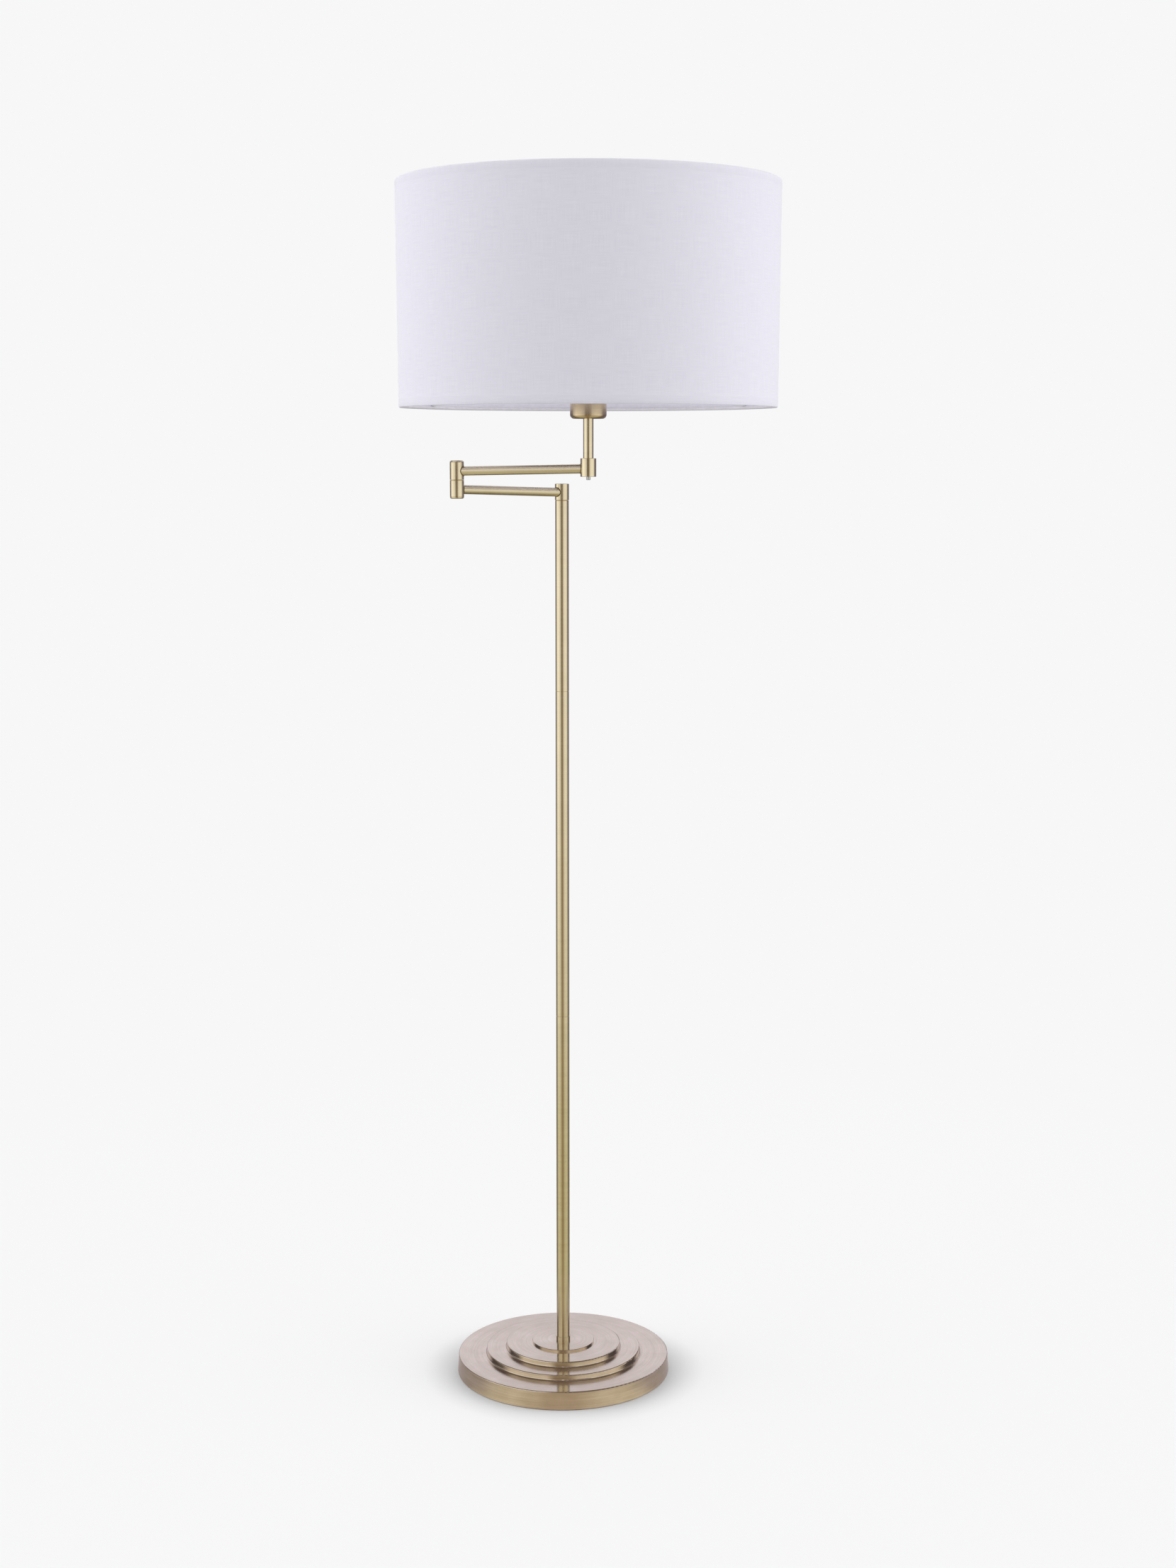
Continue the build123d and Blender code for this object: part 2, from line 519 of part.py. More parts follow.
with BuildPart() as holder_cup:
    with BuildSketch(profile_plane(*HOLDER_AXIS)):
        with BuildLine():
            FilletPolyline((NIPPLE_RADIUS + 0.2, CUP_Z[0]), (CUP_RADIUS, CUP_Z[0]),
                           (CUP_RADIUS, CUP_Z[1]), radius=CUP_ROUND)
            Line((CUP_RADIUS, CUP_Z[1]), (CUP_RADIUS - CUP_SHEET, CUP_Z[1]))
            FilletPolyline((CUP_RADIUS - CUP_SHEET, CUP_Z[1]),
                           (CUP_RADIUS - CUP_SHEET, CUP_Z[0] + CUP_SHEET),
                           (NIPPLE_RADIUS + 0.2, CUP_Z[0] + CUP_SHEET), radius=CUP_ROUND - CUP_SHEET)
            Line((NIPPLE_RADIUS + 0.2, CUP_Z[0] + CUP_SHEET), (NIPPLE_RADIUS + 0.2, CUP_Z[0]))
        make_face()
    revolve(axis=axis_at(*HOLDER_AXIS))
save(holder_cup, "holder_cup")

ring_piece("cup_nipple", upright(*HOLDER_AXIS, CUP_Z[0] - 12.0), NIPPLE_RADIUS, NIPPLE_BORE, 18.5)
with BuildPart() as cup_nut:
    with BuildSketch(upright(*HOLDER_AXIS, CUP_Z[0] + CUP_SHEET)):
        RegularPolygon(7.0, 6, major_radius=False)
        Circle(NIPPLE_RADIUS, mode=Mode.SUBTRACT)
    extrude(amount=3.0)
save(cup_nut, "cup_nut")

SOCKET_FLOOR_Z = CUP_Z[0] + 5.0
SOCKET_TOP_Z, SOCKET_BASE_Z = 1296.0, 1262.0
SHOULDER_RADIUS, SHOULDER_THICK = 25.0, 3.0
with BuildPart() as lampholder_body:
    with BuildSketch(upright(*HOLDER_AXIS, SOCKET_FLOOR_Z)):
        Circle(SOCKET_BODY_RADIUS)
    extrude(amount=SOCKET_TOP_Z - SOCKET_FLOOR_Z)
    chamfer(lampholder_body.edges().group_by(Axis.Z)[0], length=2.5)
    with BuildSketch(upright(*HOLDER_AXIS, SPIDER_Z - SHOULDER_THICK)):
        Circle(SHOULDER_RADIUS)
    extrude(amount=SHOULDER_THICK)
    with BuildSketch(upright(*HOLDER_AXIS, SOCKET_BASE_Z)):
        Circle(SOCKET_RADIUS)
    extrude(amount=SOCKET_TOP_Z - SOCKET_BASE_Z, mode=Mode.SUBTRACT)
    with BuildSketch(upright(*HOLDER_AXIS, SOCKET_FLOOR_Z)):
        Circle(NIPPLE_RADIUS)
    extrude(amount=4.0, mode=Mode.SUBTRACT)
    with BuildSketch(upright(*HOLDER_AXIS, SOCKET_FLOOR_Z)):
        Circle(NIPPLE_BORE)
    extrude(amount=SOCKET_BASE_Z - SOCKET_FLOOR_Z - 4.0, mode=Mode.SUBTRACT)
save(lampholder_body, "lampholder_body")

ring_piece("lampholder_shell", upright(*HOLDER_AXIS, SOCKET_BASE_Z + 3.0), SOCKET_RADIUS - 0.1,
           SOCKET_RADIUS - 0.7, 26.0)
ring_piece("lampholder_contact", upright(*HOLDER_AXIS, SOCKET_BASE_Z), 4.0, 0, 1.5)

CLAMP_RING_HEIGHT, SPIDER_SHEET = 8.0, 1.0
CLAMP_RING_GRIPS = 24
with BuildPart() as clamp_ring:
    with BuildSketch(upright(*HOLDER_AXIS, SPIDER_Z + SPIDER_SHEET)):
        Circle(26.5)
        with PolarLocations(26.5, CLAMP_RING_GRIPS):
            Circle(1.0, mode=Mode.SUBTRACT)
        Circle(SOCKET_BODY_RADIUS + 0.1, mode=Mode.SUBTRACT)
    extrude(amount=CLAMP_RING_HEIGHT)
save(clamp_ring, "shade_clamp_ring")

# ---------------------------------------------------------------- bulb
CAP_RADIUS, CAP_FLOOR_Z, CAP_TOP_Z = 13.1, 1266.0, 1292.5
with BuildPart() as bulb_cap:
    with BuildSketch(profile_plane(*HOLDER_AXIS)):
        with BuildLine():
            Polyline((0, SOCKET_BASE_Z + 1.5), (3.5, SOCKET_BASE_Z + 1.5), (3.5, CAP_FLOOR_Z - 1.0),
                     (9.0, CAP_FLOOR_Z), (CAP_RADIUS, CAP_FLOOR_Z + 3.0), (CAP_RADIUS, CAP_TOP_Z),
                     (0, CAP_TOP_Z), (0, SOCKET_BASE_Z + 1.5))
        make_face()
    revolve(axis=axis_at(*HOLDER_AXIS))
save(bulb_cap, "bulb_cap")

BULB_CENTRE_Z = BULB_TOP_Z - BULB_RADIUS
BULB_WALL, BULB_NECK_RADIUS = 1.0, 13.4


def bulb_outline(inset, foot_z):
    """Half the bulb's section: a neck that flares into a round globe."""
    with BuildPart() as globe:
        with BuildSketch(profile_plane(*HOLDER_AXIS)):
            with BuildLine():
                neck = BULB_NECK_RADIUS - inset
                reach = BULB_RADIUS - inset
                Line((0, foot_z), (neck, foot_z))
                Line((neck, foot_z), (neck, CAP_TOP_Z + 6.0))
                Spline((neck, CAP_TOP_Z + 6.0), (reach * 0.8, BULB_CENTRE_Z - 22.0),
                       (reach, BULB_CENTRE_Z), tangents=[(0, 1), (0, 1)])
                RadiusArc((reach, BULB_CENTRE_Z), (0, BULB_CENTRE_Z + reach), -reach)
                Line((0, BULB_CENTRE_Z + reach), (0, foot_z))
            make_face()
        revolve(axis=axis_at(*HOLDER_AXIS))
    return globe.part


with BuildPart() as bulb_glass:
    add(bulb_outline(0.0, CAP_TOP_Z))
    add(bulb_outline(BULB_WALL, CAP_TOP_Z + 1.0), mode=Mode.SUBTRACT)
save(bulb_glass, "bulb_glass")

# ---------------------------------------------------------------- shade
SHADE_SLOPE = (SHADE_RADIUS[1] - SHADE_RADIUS[0]) / (SHADE_Z[1] - SHADE_Z[0])


def shade_radius(z):
    return SHADE_RADIUS[0] + SHADE_SLOPE * (z - SHADE_Z[0])


def shade_wall(name, inset, thick, low, high):
    """A thin wall that follows the shade's side between two heights."""
    with BuildPart() as wall:
        with BuildSketch(profile_plane(*HOLDER_AXIS)):
            with BuildLine():
                Polyline((shade_radius(low) - inset, low), (shade_radius(high) - inset, high),
                         (shade_radius(high) - inset - thick, high),
                         (shade_radius(low) - inset - thick, low),
                         (shade_radius(low) - inset, low))
            make_face()
        revolve(axis=axis_at(*HOLDER_AXIS))
    save(wall, name)


shade_wall("shade_fabric", 0.0, FABRIC_THICK, *SHADE_Z)
shade_wall("shade_liner", FABRIC_THICK, LINER_THICK, SHADE_Z[0] + 1.0, SHADE_Z[1] - 1.0)


def wire_ring(name, z):
    """A shade ring: a hoop of round wire that lies against the liner."""
    centre = shade_radius(z) - FABRIC_THICK - LINER_THICK - RING_WIRE - 0.05
    with BuildPart() as ring:
        with BuildSketch(profile_plane(*HOLDER_AXIS)):
            with Locations((centre, z)):
                Circle(RING_WIRE)
        revolve(axis=axis_at(*HOLDER_AXIS))
    save(ring, name)


RING_INSET_Z = 2.2
wire_ring("shade_ring_bottom", SHADE_Z[0] + RING_INSET_Z)
wire_ring("shade_ring_top", SHADE_Z[1] - RING_INSET_Z)
ring_piece("spider_washer", upright(*HOLDER_AXIS, SPIDER_Z), 30.0, SOCKET_BODY_RADIUS + 0.5,
           SPIDER_SHEET)

SPOKE_START = (28.5, SPIDER_Z + SPIDER_SHEET + RING_WIRE + 0.2)
SPOKE_END = (shade_radius(SHADE_Z[0]) - 1.8, SHADE_Z[0] + RING_INSET_Z + 2 * RING_WIRE - 0.06)
SPOKE_TURN = 30.0
with BuildPart() as spokes:
    for n in range(SPOKE_COUNT):
        heading = radians(SPOKE_TURN + n * 360.0 / SPOKE_COUNT)
        inner = Vector(HOLDER_X + SPOKE_START[0] * cos(heading),
                       HOLDER_Y + SPOKE_START[0] * sin(heading), SPOKE_START[1])
        outer = Vector(HOLDER_X + SPOKE_END[0] * cos(heading),
                       HOLDER_Y + SPOKE_END[0] * sin(heading), SPOKE_END[1])
        add(arm_cylinder(inner, outer, RING_WIRE))
save(spokes, "spider_spokes")


# ---------------------------------------------------------------- inner flex
def flex(name, points, radii):
    """A length of round flex along straight runs joined by arcs."""
    with BuildPart() as lead:
        with BuildLine() as route:
            FilletPolyline(*points, radius=radii)
        with BuildSketch(Plane(origin=route.line @ 0, z_dir=route.line % 0)):
            Circle(FLEX_RADIUS)
        sweep(path=route.line)
    save(lead, name)


FLEX_FLOOR_Z, FLEX_BEND = 6.0, 8.0
FLEX_BREAK = 0.3
PIVOT_FOOT_Z = NUT_FLOOR_Z - 1.0
ELBOW_PIVOT_TOP_Z = ELBOW_SPRING_Z + SPRING_WASHER + PIVOT_NUT + 0.5
flex("inner_flex_pole",
     [(0, TERMINAL_Y - TERMINAL_SIZE[1] / 2, FLEX_FLOOR_Z), (0, 0, FLEX_FLOOR_Z),
      (0, 0, PIVOT_FOOT_Z - FLEX_BREAK)], FLEX_BEND)
ARM_BEND, ELBOW_BEND = 5.5, 3.0
flex("inner_flex_lower_arm",
     [(0, 0, PIVOT_FOOT_Z), HEAD_TOP, ELBOW_LOW,
      (ELBOW_X, ELBOW_Y, ELBOW_PIVOT_TOP_Z - FLEX_BREAK)], ARM_BEND)
ELBOW_LOOP_Z, ELBOW_LOOP_REACH = 1181.0, 14.0
loop_end = ELBOW_HIGH + (HOLDER - ELBOW_HIGH).normalized() * ELBOW_LOOP_REACH
flex("inner_flex_upper_arm",
     [(ELBOW_X, ELBOW_Y, ELBOW_PIVOT_TOP_Z), (ELBOW_X, ELBOW_Y, ELBOW_LOOP_Z), loop_end, HOLDER,
      (HOLDER_X, HOLDER_Y, SOCKET_BASE_Z - 4.5)], [ELBOW_BEND, ELBOW_BEND, ARM_BEND])
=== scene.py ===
"""Swing-arm floor lamp in antique brass, with an upright linen drum shade."""

from functools import partial
from math import cos, pi, radians, sin, sqrt

import bmesh
import bpy
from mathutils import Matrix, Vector


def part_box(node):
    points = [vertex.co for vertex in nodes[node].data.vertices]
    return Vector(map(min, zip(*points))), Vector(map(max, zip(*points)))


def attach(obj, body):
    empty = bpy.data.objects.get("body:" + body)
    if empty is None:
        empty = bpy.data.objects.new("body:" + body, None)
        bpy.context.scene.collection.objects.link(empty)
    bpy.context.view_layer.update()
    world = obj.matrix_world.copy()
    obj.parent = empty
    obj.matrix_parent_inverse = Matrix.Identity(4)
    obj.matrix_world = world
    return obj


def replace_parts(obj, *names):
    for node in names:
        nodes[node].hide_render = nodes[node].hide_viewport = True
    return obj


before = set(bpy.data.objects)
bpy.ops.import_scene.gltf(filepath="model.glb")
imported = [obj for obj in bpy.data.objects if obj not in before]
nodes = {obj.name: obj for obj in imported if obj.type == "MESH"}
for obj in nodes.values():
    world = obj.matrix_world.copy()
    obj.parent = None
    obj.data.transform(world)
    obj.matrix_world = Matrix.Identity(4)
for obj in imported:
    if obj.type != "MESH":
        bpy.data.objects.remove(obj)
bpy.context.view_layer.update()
scene = bpy.context.scene
MM = 0.001
TURN = 2 * pi


# ---------------------------------------------------------------- places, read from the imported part
def middle(node):
    low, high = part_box(node)
    return (low + high) / 2


def level(node, end):
    """The height of a node's underside (0) or top (1)."""
    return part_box(node)[end].z


UP = Vector((0, 0, 1))
POLE_AXIS = Vector((0, 0, 0))
ELBOW_AXIS = Vector((*middle("elbow_top_cap").xy, 0))
STEM_AXIS = Vector((*middle("stem_tube").xy, 0))
# Each arm starts at the middle of its inner barrel and climbs a little towards the outer one.
LOWER_ARM_FOOT, LOWER_ARM_RISE = POLE_AXIS + UP * 1150.2 * MM, 5.2 * MM
UPPER_ARM_FOOT, UPPER_ARM_RISE = ELBOW_AXIS + UP * 1177.2 * MM, 3.2 * MM
LOWER_ARM_RUN = Vector((*(ELBOW_AXIS - POLE_AXIS).xy, LOWER_ARM_RISE)).normalized()
UPPER_ARM_RUN = Vector((*(STEM_AXIS - ELBOW_AXIS).xy, UPPER_ARM_RISE)).normalized()


# ---------------------------------------------------------------- camera
CAMERA_DIP = 0.1415          # radians below level
camera = bpy.data.objects.new("camera", bpy.data.cameras.new("camera"))
scene.collection.objects.link(camera)
camera.location = (0.0327, -2.922, 1.197)
camera.rotation_euler = (pi / 2 - CAMERA_DIP, 0, 0)
camera.data.sensor_width = 36
camera.data.lens = 53.09
camera.data.clip_end = 200
scene.camera = camera
scene.view_settings.view_transform = "Standard"


# ---------------------------------------------------------------- node helpers
def add(tree, kind, inputs=None, **settings):
    """Adds one node, applies its settings, and fills or links its inputs.

    An input is a plain value, a socket, or a node, which stands for its first output in use.
    """
    node = tree.nodes.new(kind)
    for key, value in settings.items():
        setattr(node, key, value)
    for key, value in (inputs or {}).items():
        if isinstance(value, bpy.types.Node):
            value = next(socket for socket in value.outputs if socket.enabled)
        if isinstance(value, bpy.types.NodeSocket):
            tree.links.new(value, node.inputs[key])
        else:
            node.inputs[key].default_value = value
    return node


def tint(hex_colour, gain=1.0):
    """An sRGB hex colour as linear RGBA."""
    out = []
    for place in (0, 2, 4):
        value = int(hex_colour[place:place + 2], 16) / 255
        linear = value / 12.92 if value <= 0.04045 else ((value + 0.055) / 1.055) ** 2.4
        out.append(linear * gain)
    return (*out, 1.0)


def new_material(name):
    """An empty material, and the function that adds nodes to it."""
    material = bpy.data.materials.new(name)
    material.use_nodes = True
    material.node_tree.nodes.clear()
    return material, partial(add, material.node_tree)


# ---------------------------------------------------------------- metals
# Brass, antiqued and lacquered. The tubes and turned parts were brushed on a lathe, so the fine
# lines run round each piece: highlights stay narrow round it and smear out along it.
LINE_PITCH = 0.9 * MM      # real brush lines are near 0.2 mm, drawn coarser so that they show
BAND_PITCH = 7.0 * MM      # slow changes of pressure along the piece
LINE_WANDER = 14.0         # how fast a line fades into the next on its way round
CLOUD_SCALE = 38.0         # patches of toning about 26 mm across
LACQUER = {"Coat Weight": 0.12, "Coat Roughness": 0.12}


def lathe_brushed_brass(name, axis_point, axis, bright, deep, roughness, smear, groove):
    """Antique brass brushed round an axis. bright and deep are the polished and toned colours."""
    material, put = new_material(name)
    where = put("ShaderNodeTexCoord").outputs["Object"]
    offset = put("ShaderNodeVectorMath", {0: where, 1: tuple(axis_point)}, operation="SUBTRACT")
    along = put("ShaderNodeVectorMath", {0: offset, 1: tuple(axis)}, operation="DOT_PRODUCT")
    on_axis = put("ShaderNodeVectorMath", {0: tuple(axis), "Scale": along}, operation="SCALE")
    outward = put("ShaderNodeVectorMath", {0: offset, 1: on_axis}, operation="SUBTRACT")
    radius = put("ShaderNodeVectorMath", {0: outward}, operation="LENGTH")
    round_way = put("ShaderNodeVectorMath", {0: tuple(axis), 1: outward},
                    operation="CROSS_PRODUCT")
    own_normal = put("ShaderNodeVectorTransform",
                     {0: put("ShaderNodeNewGeometry").outputs["Normal"]},
                     vector_type="NORMAL", convert_from="WORLD", convert_to="OBJECT")
    across = put("ShaderNodeVectorMath", {0: round_way, 1: own_normal}, operation="CROSS_PRODUCT")
    smear_way = put("ShaderNodeVectorTransform", {0: across},
                    vector_type="VECTOR", convert_from="OBJECT", convert_to="WORLD")
    step = put("ShaderNodeMath", {0: radius, 1: along}, operation="ADD")
    drift = put("ShaderNodeVectorMath", {0: outward, "Scale": LINE_WANDER}, operation="SCALE")

    def lines(pitch, detail):
        """Noise drawn out into lines round the axis, one pitch apart along and across it."""
        count = put("ShaderNodeMath", {0: step, 1: pitch}, operation="DIVIDE")
        stripe = put("ShaderNodeCombineXYZ", {"Z": count})
        place = put("ShaderNodeVectorMath", {0: stripe, 1: drift}, operation="ADD")
        return put("ShaderNodeTexNoise",
                   {"Vector": place, "Scale": 1.0, "Detail": detail, "Roughness": 0.6})

    fine = lines(LINE_PITCH, 2.0)
    slow = lines(BAND_PITCH, 3.0)
    cloud = put("ShaderNodeTexNoise", {"Vector": where, "Scale": CLOUD_SCALE, "Detail": 3.0})
    worn = put("ShaderNodeMath", {
        0: put("ShaderNodeMath", {0: fine, 1: 0.55}, operation="MULTIPLY"),
        1: put("ShaderNodeMath", {0: slow, 1: 0.45}, operation="MULTIPLY")}, operation="ADD")
    toning = put("ShaderNodeMath", {
        0: cloud, 1: 0.35, 2: put("ShaderNodeMath", {0: worn, 1: 0.8}, operation="MULTIPLY")},
        operation="MULTIPLY_ADD")
    polish = put("ShaderNodeMapRange", {"Value": toning, "From Min": 0.30, "From Max": 0.85})
    colour = put("ShaderNodeMix", {0: polish, 6: tint(deep), 7: tint(bright)}, data_type="RGBA")
    gloss = put("ShaderNodeMapRange", {"Value": worn, "From Min": 0.3, "From Max": 0.7,
                                       "To Min": roughness - 0.03, "To Max": roughness + 0.04})
    bump = put("ShaderNodeBump", {"Height": fine, "Strength": groove, "Distance": 0.05 * MM})
    metal = put("ShaderNodeBsdfPrincipled", {
        "Base Color": colour, "Metallic": 1.0, "Roughness": gloss, "Normal": bump,
        "Tangent": smear_way, "Anisotropic": smear, **LACQUER})
    put("ShaderNodeOutputMaterial", {"Surface": metal})
    return material


TUBE_TONES = ("E3D8BD", "CEC3A8")
SPUN_TONES = ("E6D9C9", "BFB19C")
# The cup's tones are the tube's tones, darkened and browned as painted shade for the shade that hangs
# over the cup.
SHADED_CUP_TONES = ("D4C1A4", "BFAE91")
# Roughness, how far highlights smear along the piece, and how strong the grooves are.
TUBE_GLOSS = (0.17, 0.9, 0.035)
ARM_GLOSS = (0.22, 0.9, 0.035)
STEM_GLOSS = (0.12, 0.9, 0.035)
CUP_GLOSS = (0.11, 0.9, 0.035)
BASE_GLOSS = (0.145, 0.85, 0.11)
spun_brass = lathe_brushed_brass("spun antique brass, base", POLE_AXIS, UP,
                                 *SPUN_TONES, *BASE_GLOSS)
pole_brass = lathe_brushed_brass("brushed brass tube, pole", POLE_AXIS, UP,
                                 *TUBE_TONES, *TUBE_GLOSS)
elbow_brass = lathe_brushed_brass("brushed brass, elbow", ELBOW_AXIS, UP,
                                  *TUBE_TONES, *TUBE_GLOSS)
stem_brass = lathe_brushed_brass("brushed brass, stem", STEM_AXIS, UP, *TUBE_TONES, *STEM_GLOSS)
shaded_cup_brass = lathe_brushed_brass("spun antique brass, cup, painted shade", STEM_AXIS, UP, *SHADED_CUP_TONES, *CUP_GLOSS)
lower_arm_brass = lathe_brushed_brass("brushed brass tube, lower arm", LOWER_ARM_FOOT,
                                      LOWER_ARM_RUN, *TUBE_TONES, *ARM_GLOSS)
upper_arm_brass = lathe_brushed_brass("brushed brass tube, upper arm", UPPER_ARM_FOOT,
                                      UPPER_ARM_RUN, *TUBE_TONES, *ARM_GLOSS)


def grained(name, light, dark, grain, roughness, metallic=0.0, relief=0.1, depth=0.05 * MM,
            **sockets):
    """A surface whose colour, gloss and relief all follow one random grain of the given size."""
    material, put = new_material(name)
    where = put("ShaderNodeTexCoord").outputs["Object"]
    noise = put("ShaderNodeTexNoise",
                {"Vector": where, "Scale": 1 / grain, "Detail": 4.0, "Roughness": 0.6})
    patch = put("ShaderNodeTexNoise", {"Vector": where, "Scale": 0.12 / grain, "Detail": 2.0})
    blend = put("ShaderNodeMath", {
        0: patch, 1: 0.5, 2: put("ShaderNodeMath", {0: noise, 1: 0.5}, operation="MULTIPLY")},
        operation="MULTIPLY_ADD")
    lightness = put("ShaderNodeMapRange", {"Value": blend, "From Min": 0.36, "From Max": 0.64})
    colour = put("ShaderNodeMix", {0: lightness, 6: tint(dark), 7: tint(light)},
                 data_type="RGBA")
    gloss = put("ShaderNodeMapRange", {"Value": blend, "From Min": 0.3, "From Max": 0.7,
                                       "To Min": roughness + 0.06, "To Max": roughness - 0.06})
    bump = put("ShaderNodeBump", {"Height": noise, "Strength": relief, "Distance": depth})
    surface = put("ShaderNodeBsdfPrincipled", {
        "Base Color": colour, "Metallic": metallic, "Roughness": gloss, "Normal": bump,
        **{key.replace("_", " "): value for key, value in sockets.items()}})
    put("ShaderNodeOutputMaterial", {"Surface": surface})
    return material


# Bare machined brass: yellow, bright, with faint tool chatter.
machined_brass = grained("machined brass", "D9BE7C", "B4965A", 0.8 * MM, 0.28, metallic=1.0)
# Sand-cast iron under a thin black paint: the sand's grain of about 1 mm shows through.
cast_iron = grained("painted cast iron", "2E2D2C", "191919", 1.2 * MM, 0.62,
                    relief=0.5, depth=0.3 * MM)
# Pressed wool felt: fibres make a soft, lint-flecked black that has a pale sheen at low angles.
wool_felt = grained("pressed wool felt", "262626", "101010", 0.9 * MM, 0.95,
                    relief=0.6, depth=0.25 * MM, Sheen_Weight=0.5, Sheen_Roughness=0.5)
# Bright zinc plate on turned steel: cool grey with a faint bluish spangle.
zinc_plate = grained("zinc-plated steel", "C6C9CC", "9A9EA2", 1.5 * MM, 0.30, metallic=1.0)
# Nickel plate on pressed brass: warmer and shinier than zinc.
nickel_plate = grained("nickel-plated brass", "D8D4CA", "B8B3A6", 2.0 * MM, 0.18, metallic=1.0)
# Moulded phenolic: near black, with a satin skin and slight flow mottling.
phenolic = grained("moulded phenolic", "1F1D1C", "121110", 1.4 * MM, 0.38, relief=0.08)
# Turned bronze thrust washers: a shade browner than the brass, satin with oil.
bronze = grained("oiled turned bronze", "D8C6A2", "BEAA84", 1.0 * MM, 0.32,
                 metallic=1.0, relief=0.05)
# Brazing run into the joints and left dark by the antiquing: brown, dull and a little lumpy.
braze = grained("antiqued brazing", "8F7C5E", "6A5A43", 0.9 * MM, 0.38, metallic=1.0, relief=0.2)
# Extruded PVC flex jacket: black, matt, with die drag lines too fine to see.
flex_jacket = grained("extruded pvc flex", "1C1C1D", "101011", 0.8 * MM, 0.5, relief=0.1)
# White powder coat on steel wire: a fine orange-peel surface of about 0.8 mm.
powder_coat = grained("white powder coat", "F3F2F3", "E8E7E8", 0.8 * MM, 0.42, relief=0.25)
# Styrene film behind the linen: even, milky and slightly glossy.
styrene_film = grained("white styrene film", "F6F5FB", "ECEBF2", 6.0 * MM, 0.40, relief=0.05)
# Opal glass: milk white, with a smooth fire-polished skin.
opal_glass = grained("opal glass", "F4F2EC", "E9E6DE", 9.0 * MM, 0.12, relief=0.02,
                     Coat_Weight=0.4, Coat_Roughness=0.05)


# ---------------------------------------------------------------- linen
# Plain-woven linen and viscose on a stiff backing: matt, cool white, with thick and thin threads.
THREAD = 0.8 * MM          # the real threads are near 0.4 mm, drawn coarser so that they show
SLUB_LENGTH = 30 * MM      # how far one thick or thin stretch of yarn runs


def linen(name, light, dark):
    """Woven cloth that follows the cover's own UV map, which is in metres."""
    material, put = new_material(name)
    parts = put("ShaderNodeSeparateXYZ", {0: put("ShaderNodeUVMap", uv_map="cloth")})

    def yarns(over, along):
        """One set of yarns: their rounded ridges, how thick each one is, and their count."""
        count = put("ShaderNodeMath", {0: over, 1: THREAD}, operation="DIVIDE")
        place = put("ShaderNodeCombineXYZ", {
            "X": put("ShaderNodeMath", {0: count}, operation="FLOOR"),
            "Y": put("ShaderNodeMath", {0: along, 1: SLUB_LENGTH}, operation="DIVIDE")})
        slub = put("ShaderNodeTexNoise", {"Vector": place, "Scale": 1.0, "Detail": 2.0})
        angle = put("ShaderNodeMath", {0: count, 1: TURN}, operation="MULTIPLY")
        wave = put("ShaderNodeMath", {0: angle}, operation="SINE")
        ridge = put("ShaderNodeMath", {0: wave, 1: 0.5, 2: 0.5}, operation="MULTIPLY_ADD")
        half_angle = put("ShaderNodeMath", {0: count, 1: pi}, operation="MULTIPLY")
        return ridge, slub, put("ShaderNodeMath", {0: half_angle}, operation="SINE")

    warp, warp_slub, warp_turn = yarns(parts.outputs["X"], parts.outputs["Y"])
    weft, weft_slub, weft_turn = yarns(parts.outputs["Y"], parts.outputs["X"])
    crossing = put("ShaderNodeMath", {0: warp_turn, 1: weft_turn}, operation="MULTIPLY")
    warp_on_top = put("ShaderNodeMapRange",
                      {"Value": crossing, "From Min": -0.3, "From Max": 0.3})
    weft_on_top = put("ShaderNodeMath", {0: 1.0, 1: warp_on_top}, operation="SUBTRACT")
    ridge = put("ShaderNodeMath", {
        0: put("ShaderNodeMath", {0: warp, 1: warp_on_top}, operation="MULTIPLY"),
        1: put("ShaderNodeMath", {0: weft, 1: weft_on_top}, operation="MULTIPLY")},
        operation="ADD")
    slub = put("ShaderNodeMath", {
        0: put("ShaderNodeMath", {0: warp_slub, 1: 0.5}, operation="MULTIPLY"),
        1: put("ShaderNodeMath", {0: weft_slub, 1: 0.5}, operation="MULTIPLY")},
        operation="ADD")

    def mixture(slub_share, ridge_share):
        return put("ShaderNodeMath", {
            0: slub, 1: slub_share,
            2: put("ShaderNodeMath", {0: ridge, 1: ridge_share}, operation="MULTIPLY")},
            operation="MULTIPLY_ADD")

    lightness = put("ShaderNodeMapRange", {
        "Value": mixture(0.8, 0.22), "From Min": 0.30, "From Max": 0.74})
    colour = put("ShaderNodeMix", {0: lightness, 6: tint(dark), 7: tint(light)},
                 data_type="RGBA")
    bump = put("ShaderNodeBump", {"Height": mixture(0.9, 0.55), "Strength": 0.2,
                                  "Distance": 0.08 * MM})
    cloth = put("ShaderNodeBsdfPrincipled", {
        "Base Color": colour, "Roughness": 0.88, "Normal": bump, "Sheen Weight": 0.22,
        "Sheen Roughness": 0.4, "Specular IOR Level": 0.25})
    put("ShaderNodeOutputMaterial", {"Surface": cloth})
    return material


shade_linen = linen("woven white linen", "F1F1F6", "E4E3EA")
hem_linen = linen("folded linen hem", "EFEFF4", "E2E1E8")


# ---------------------------------------------------------------- materials on the CAD pieces
def dress(material, *names):
    for name in names:
        nodes[name].data.materials.clear()
        nodes[name].data.materials.append(material)


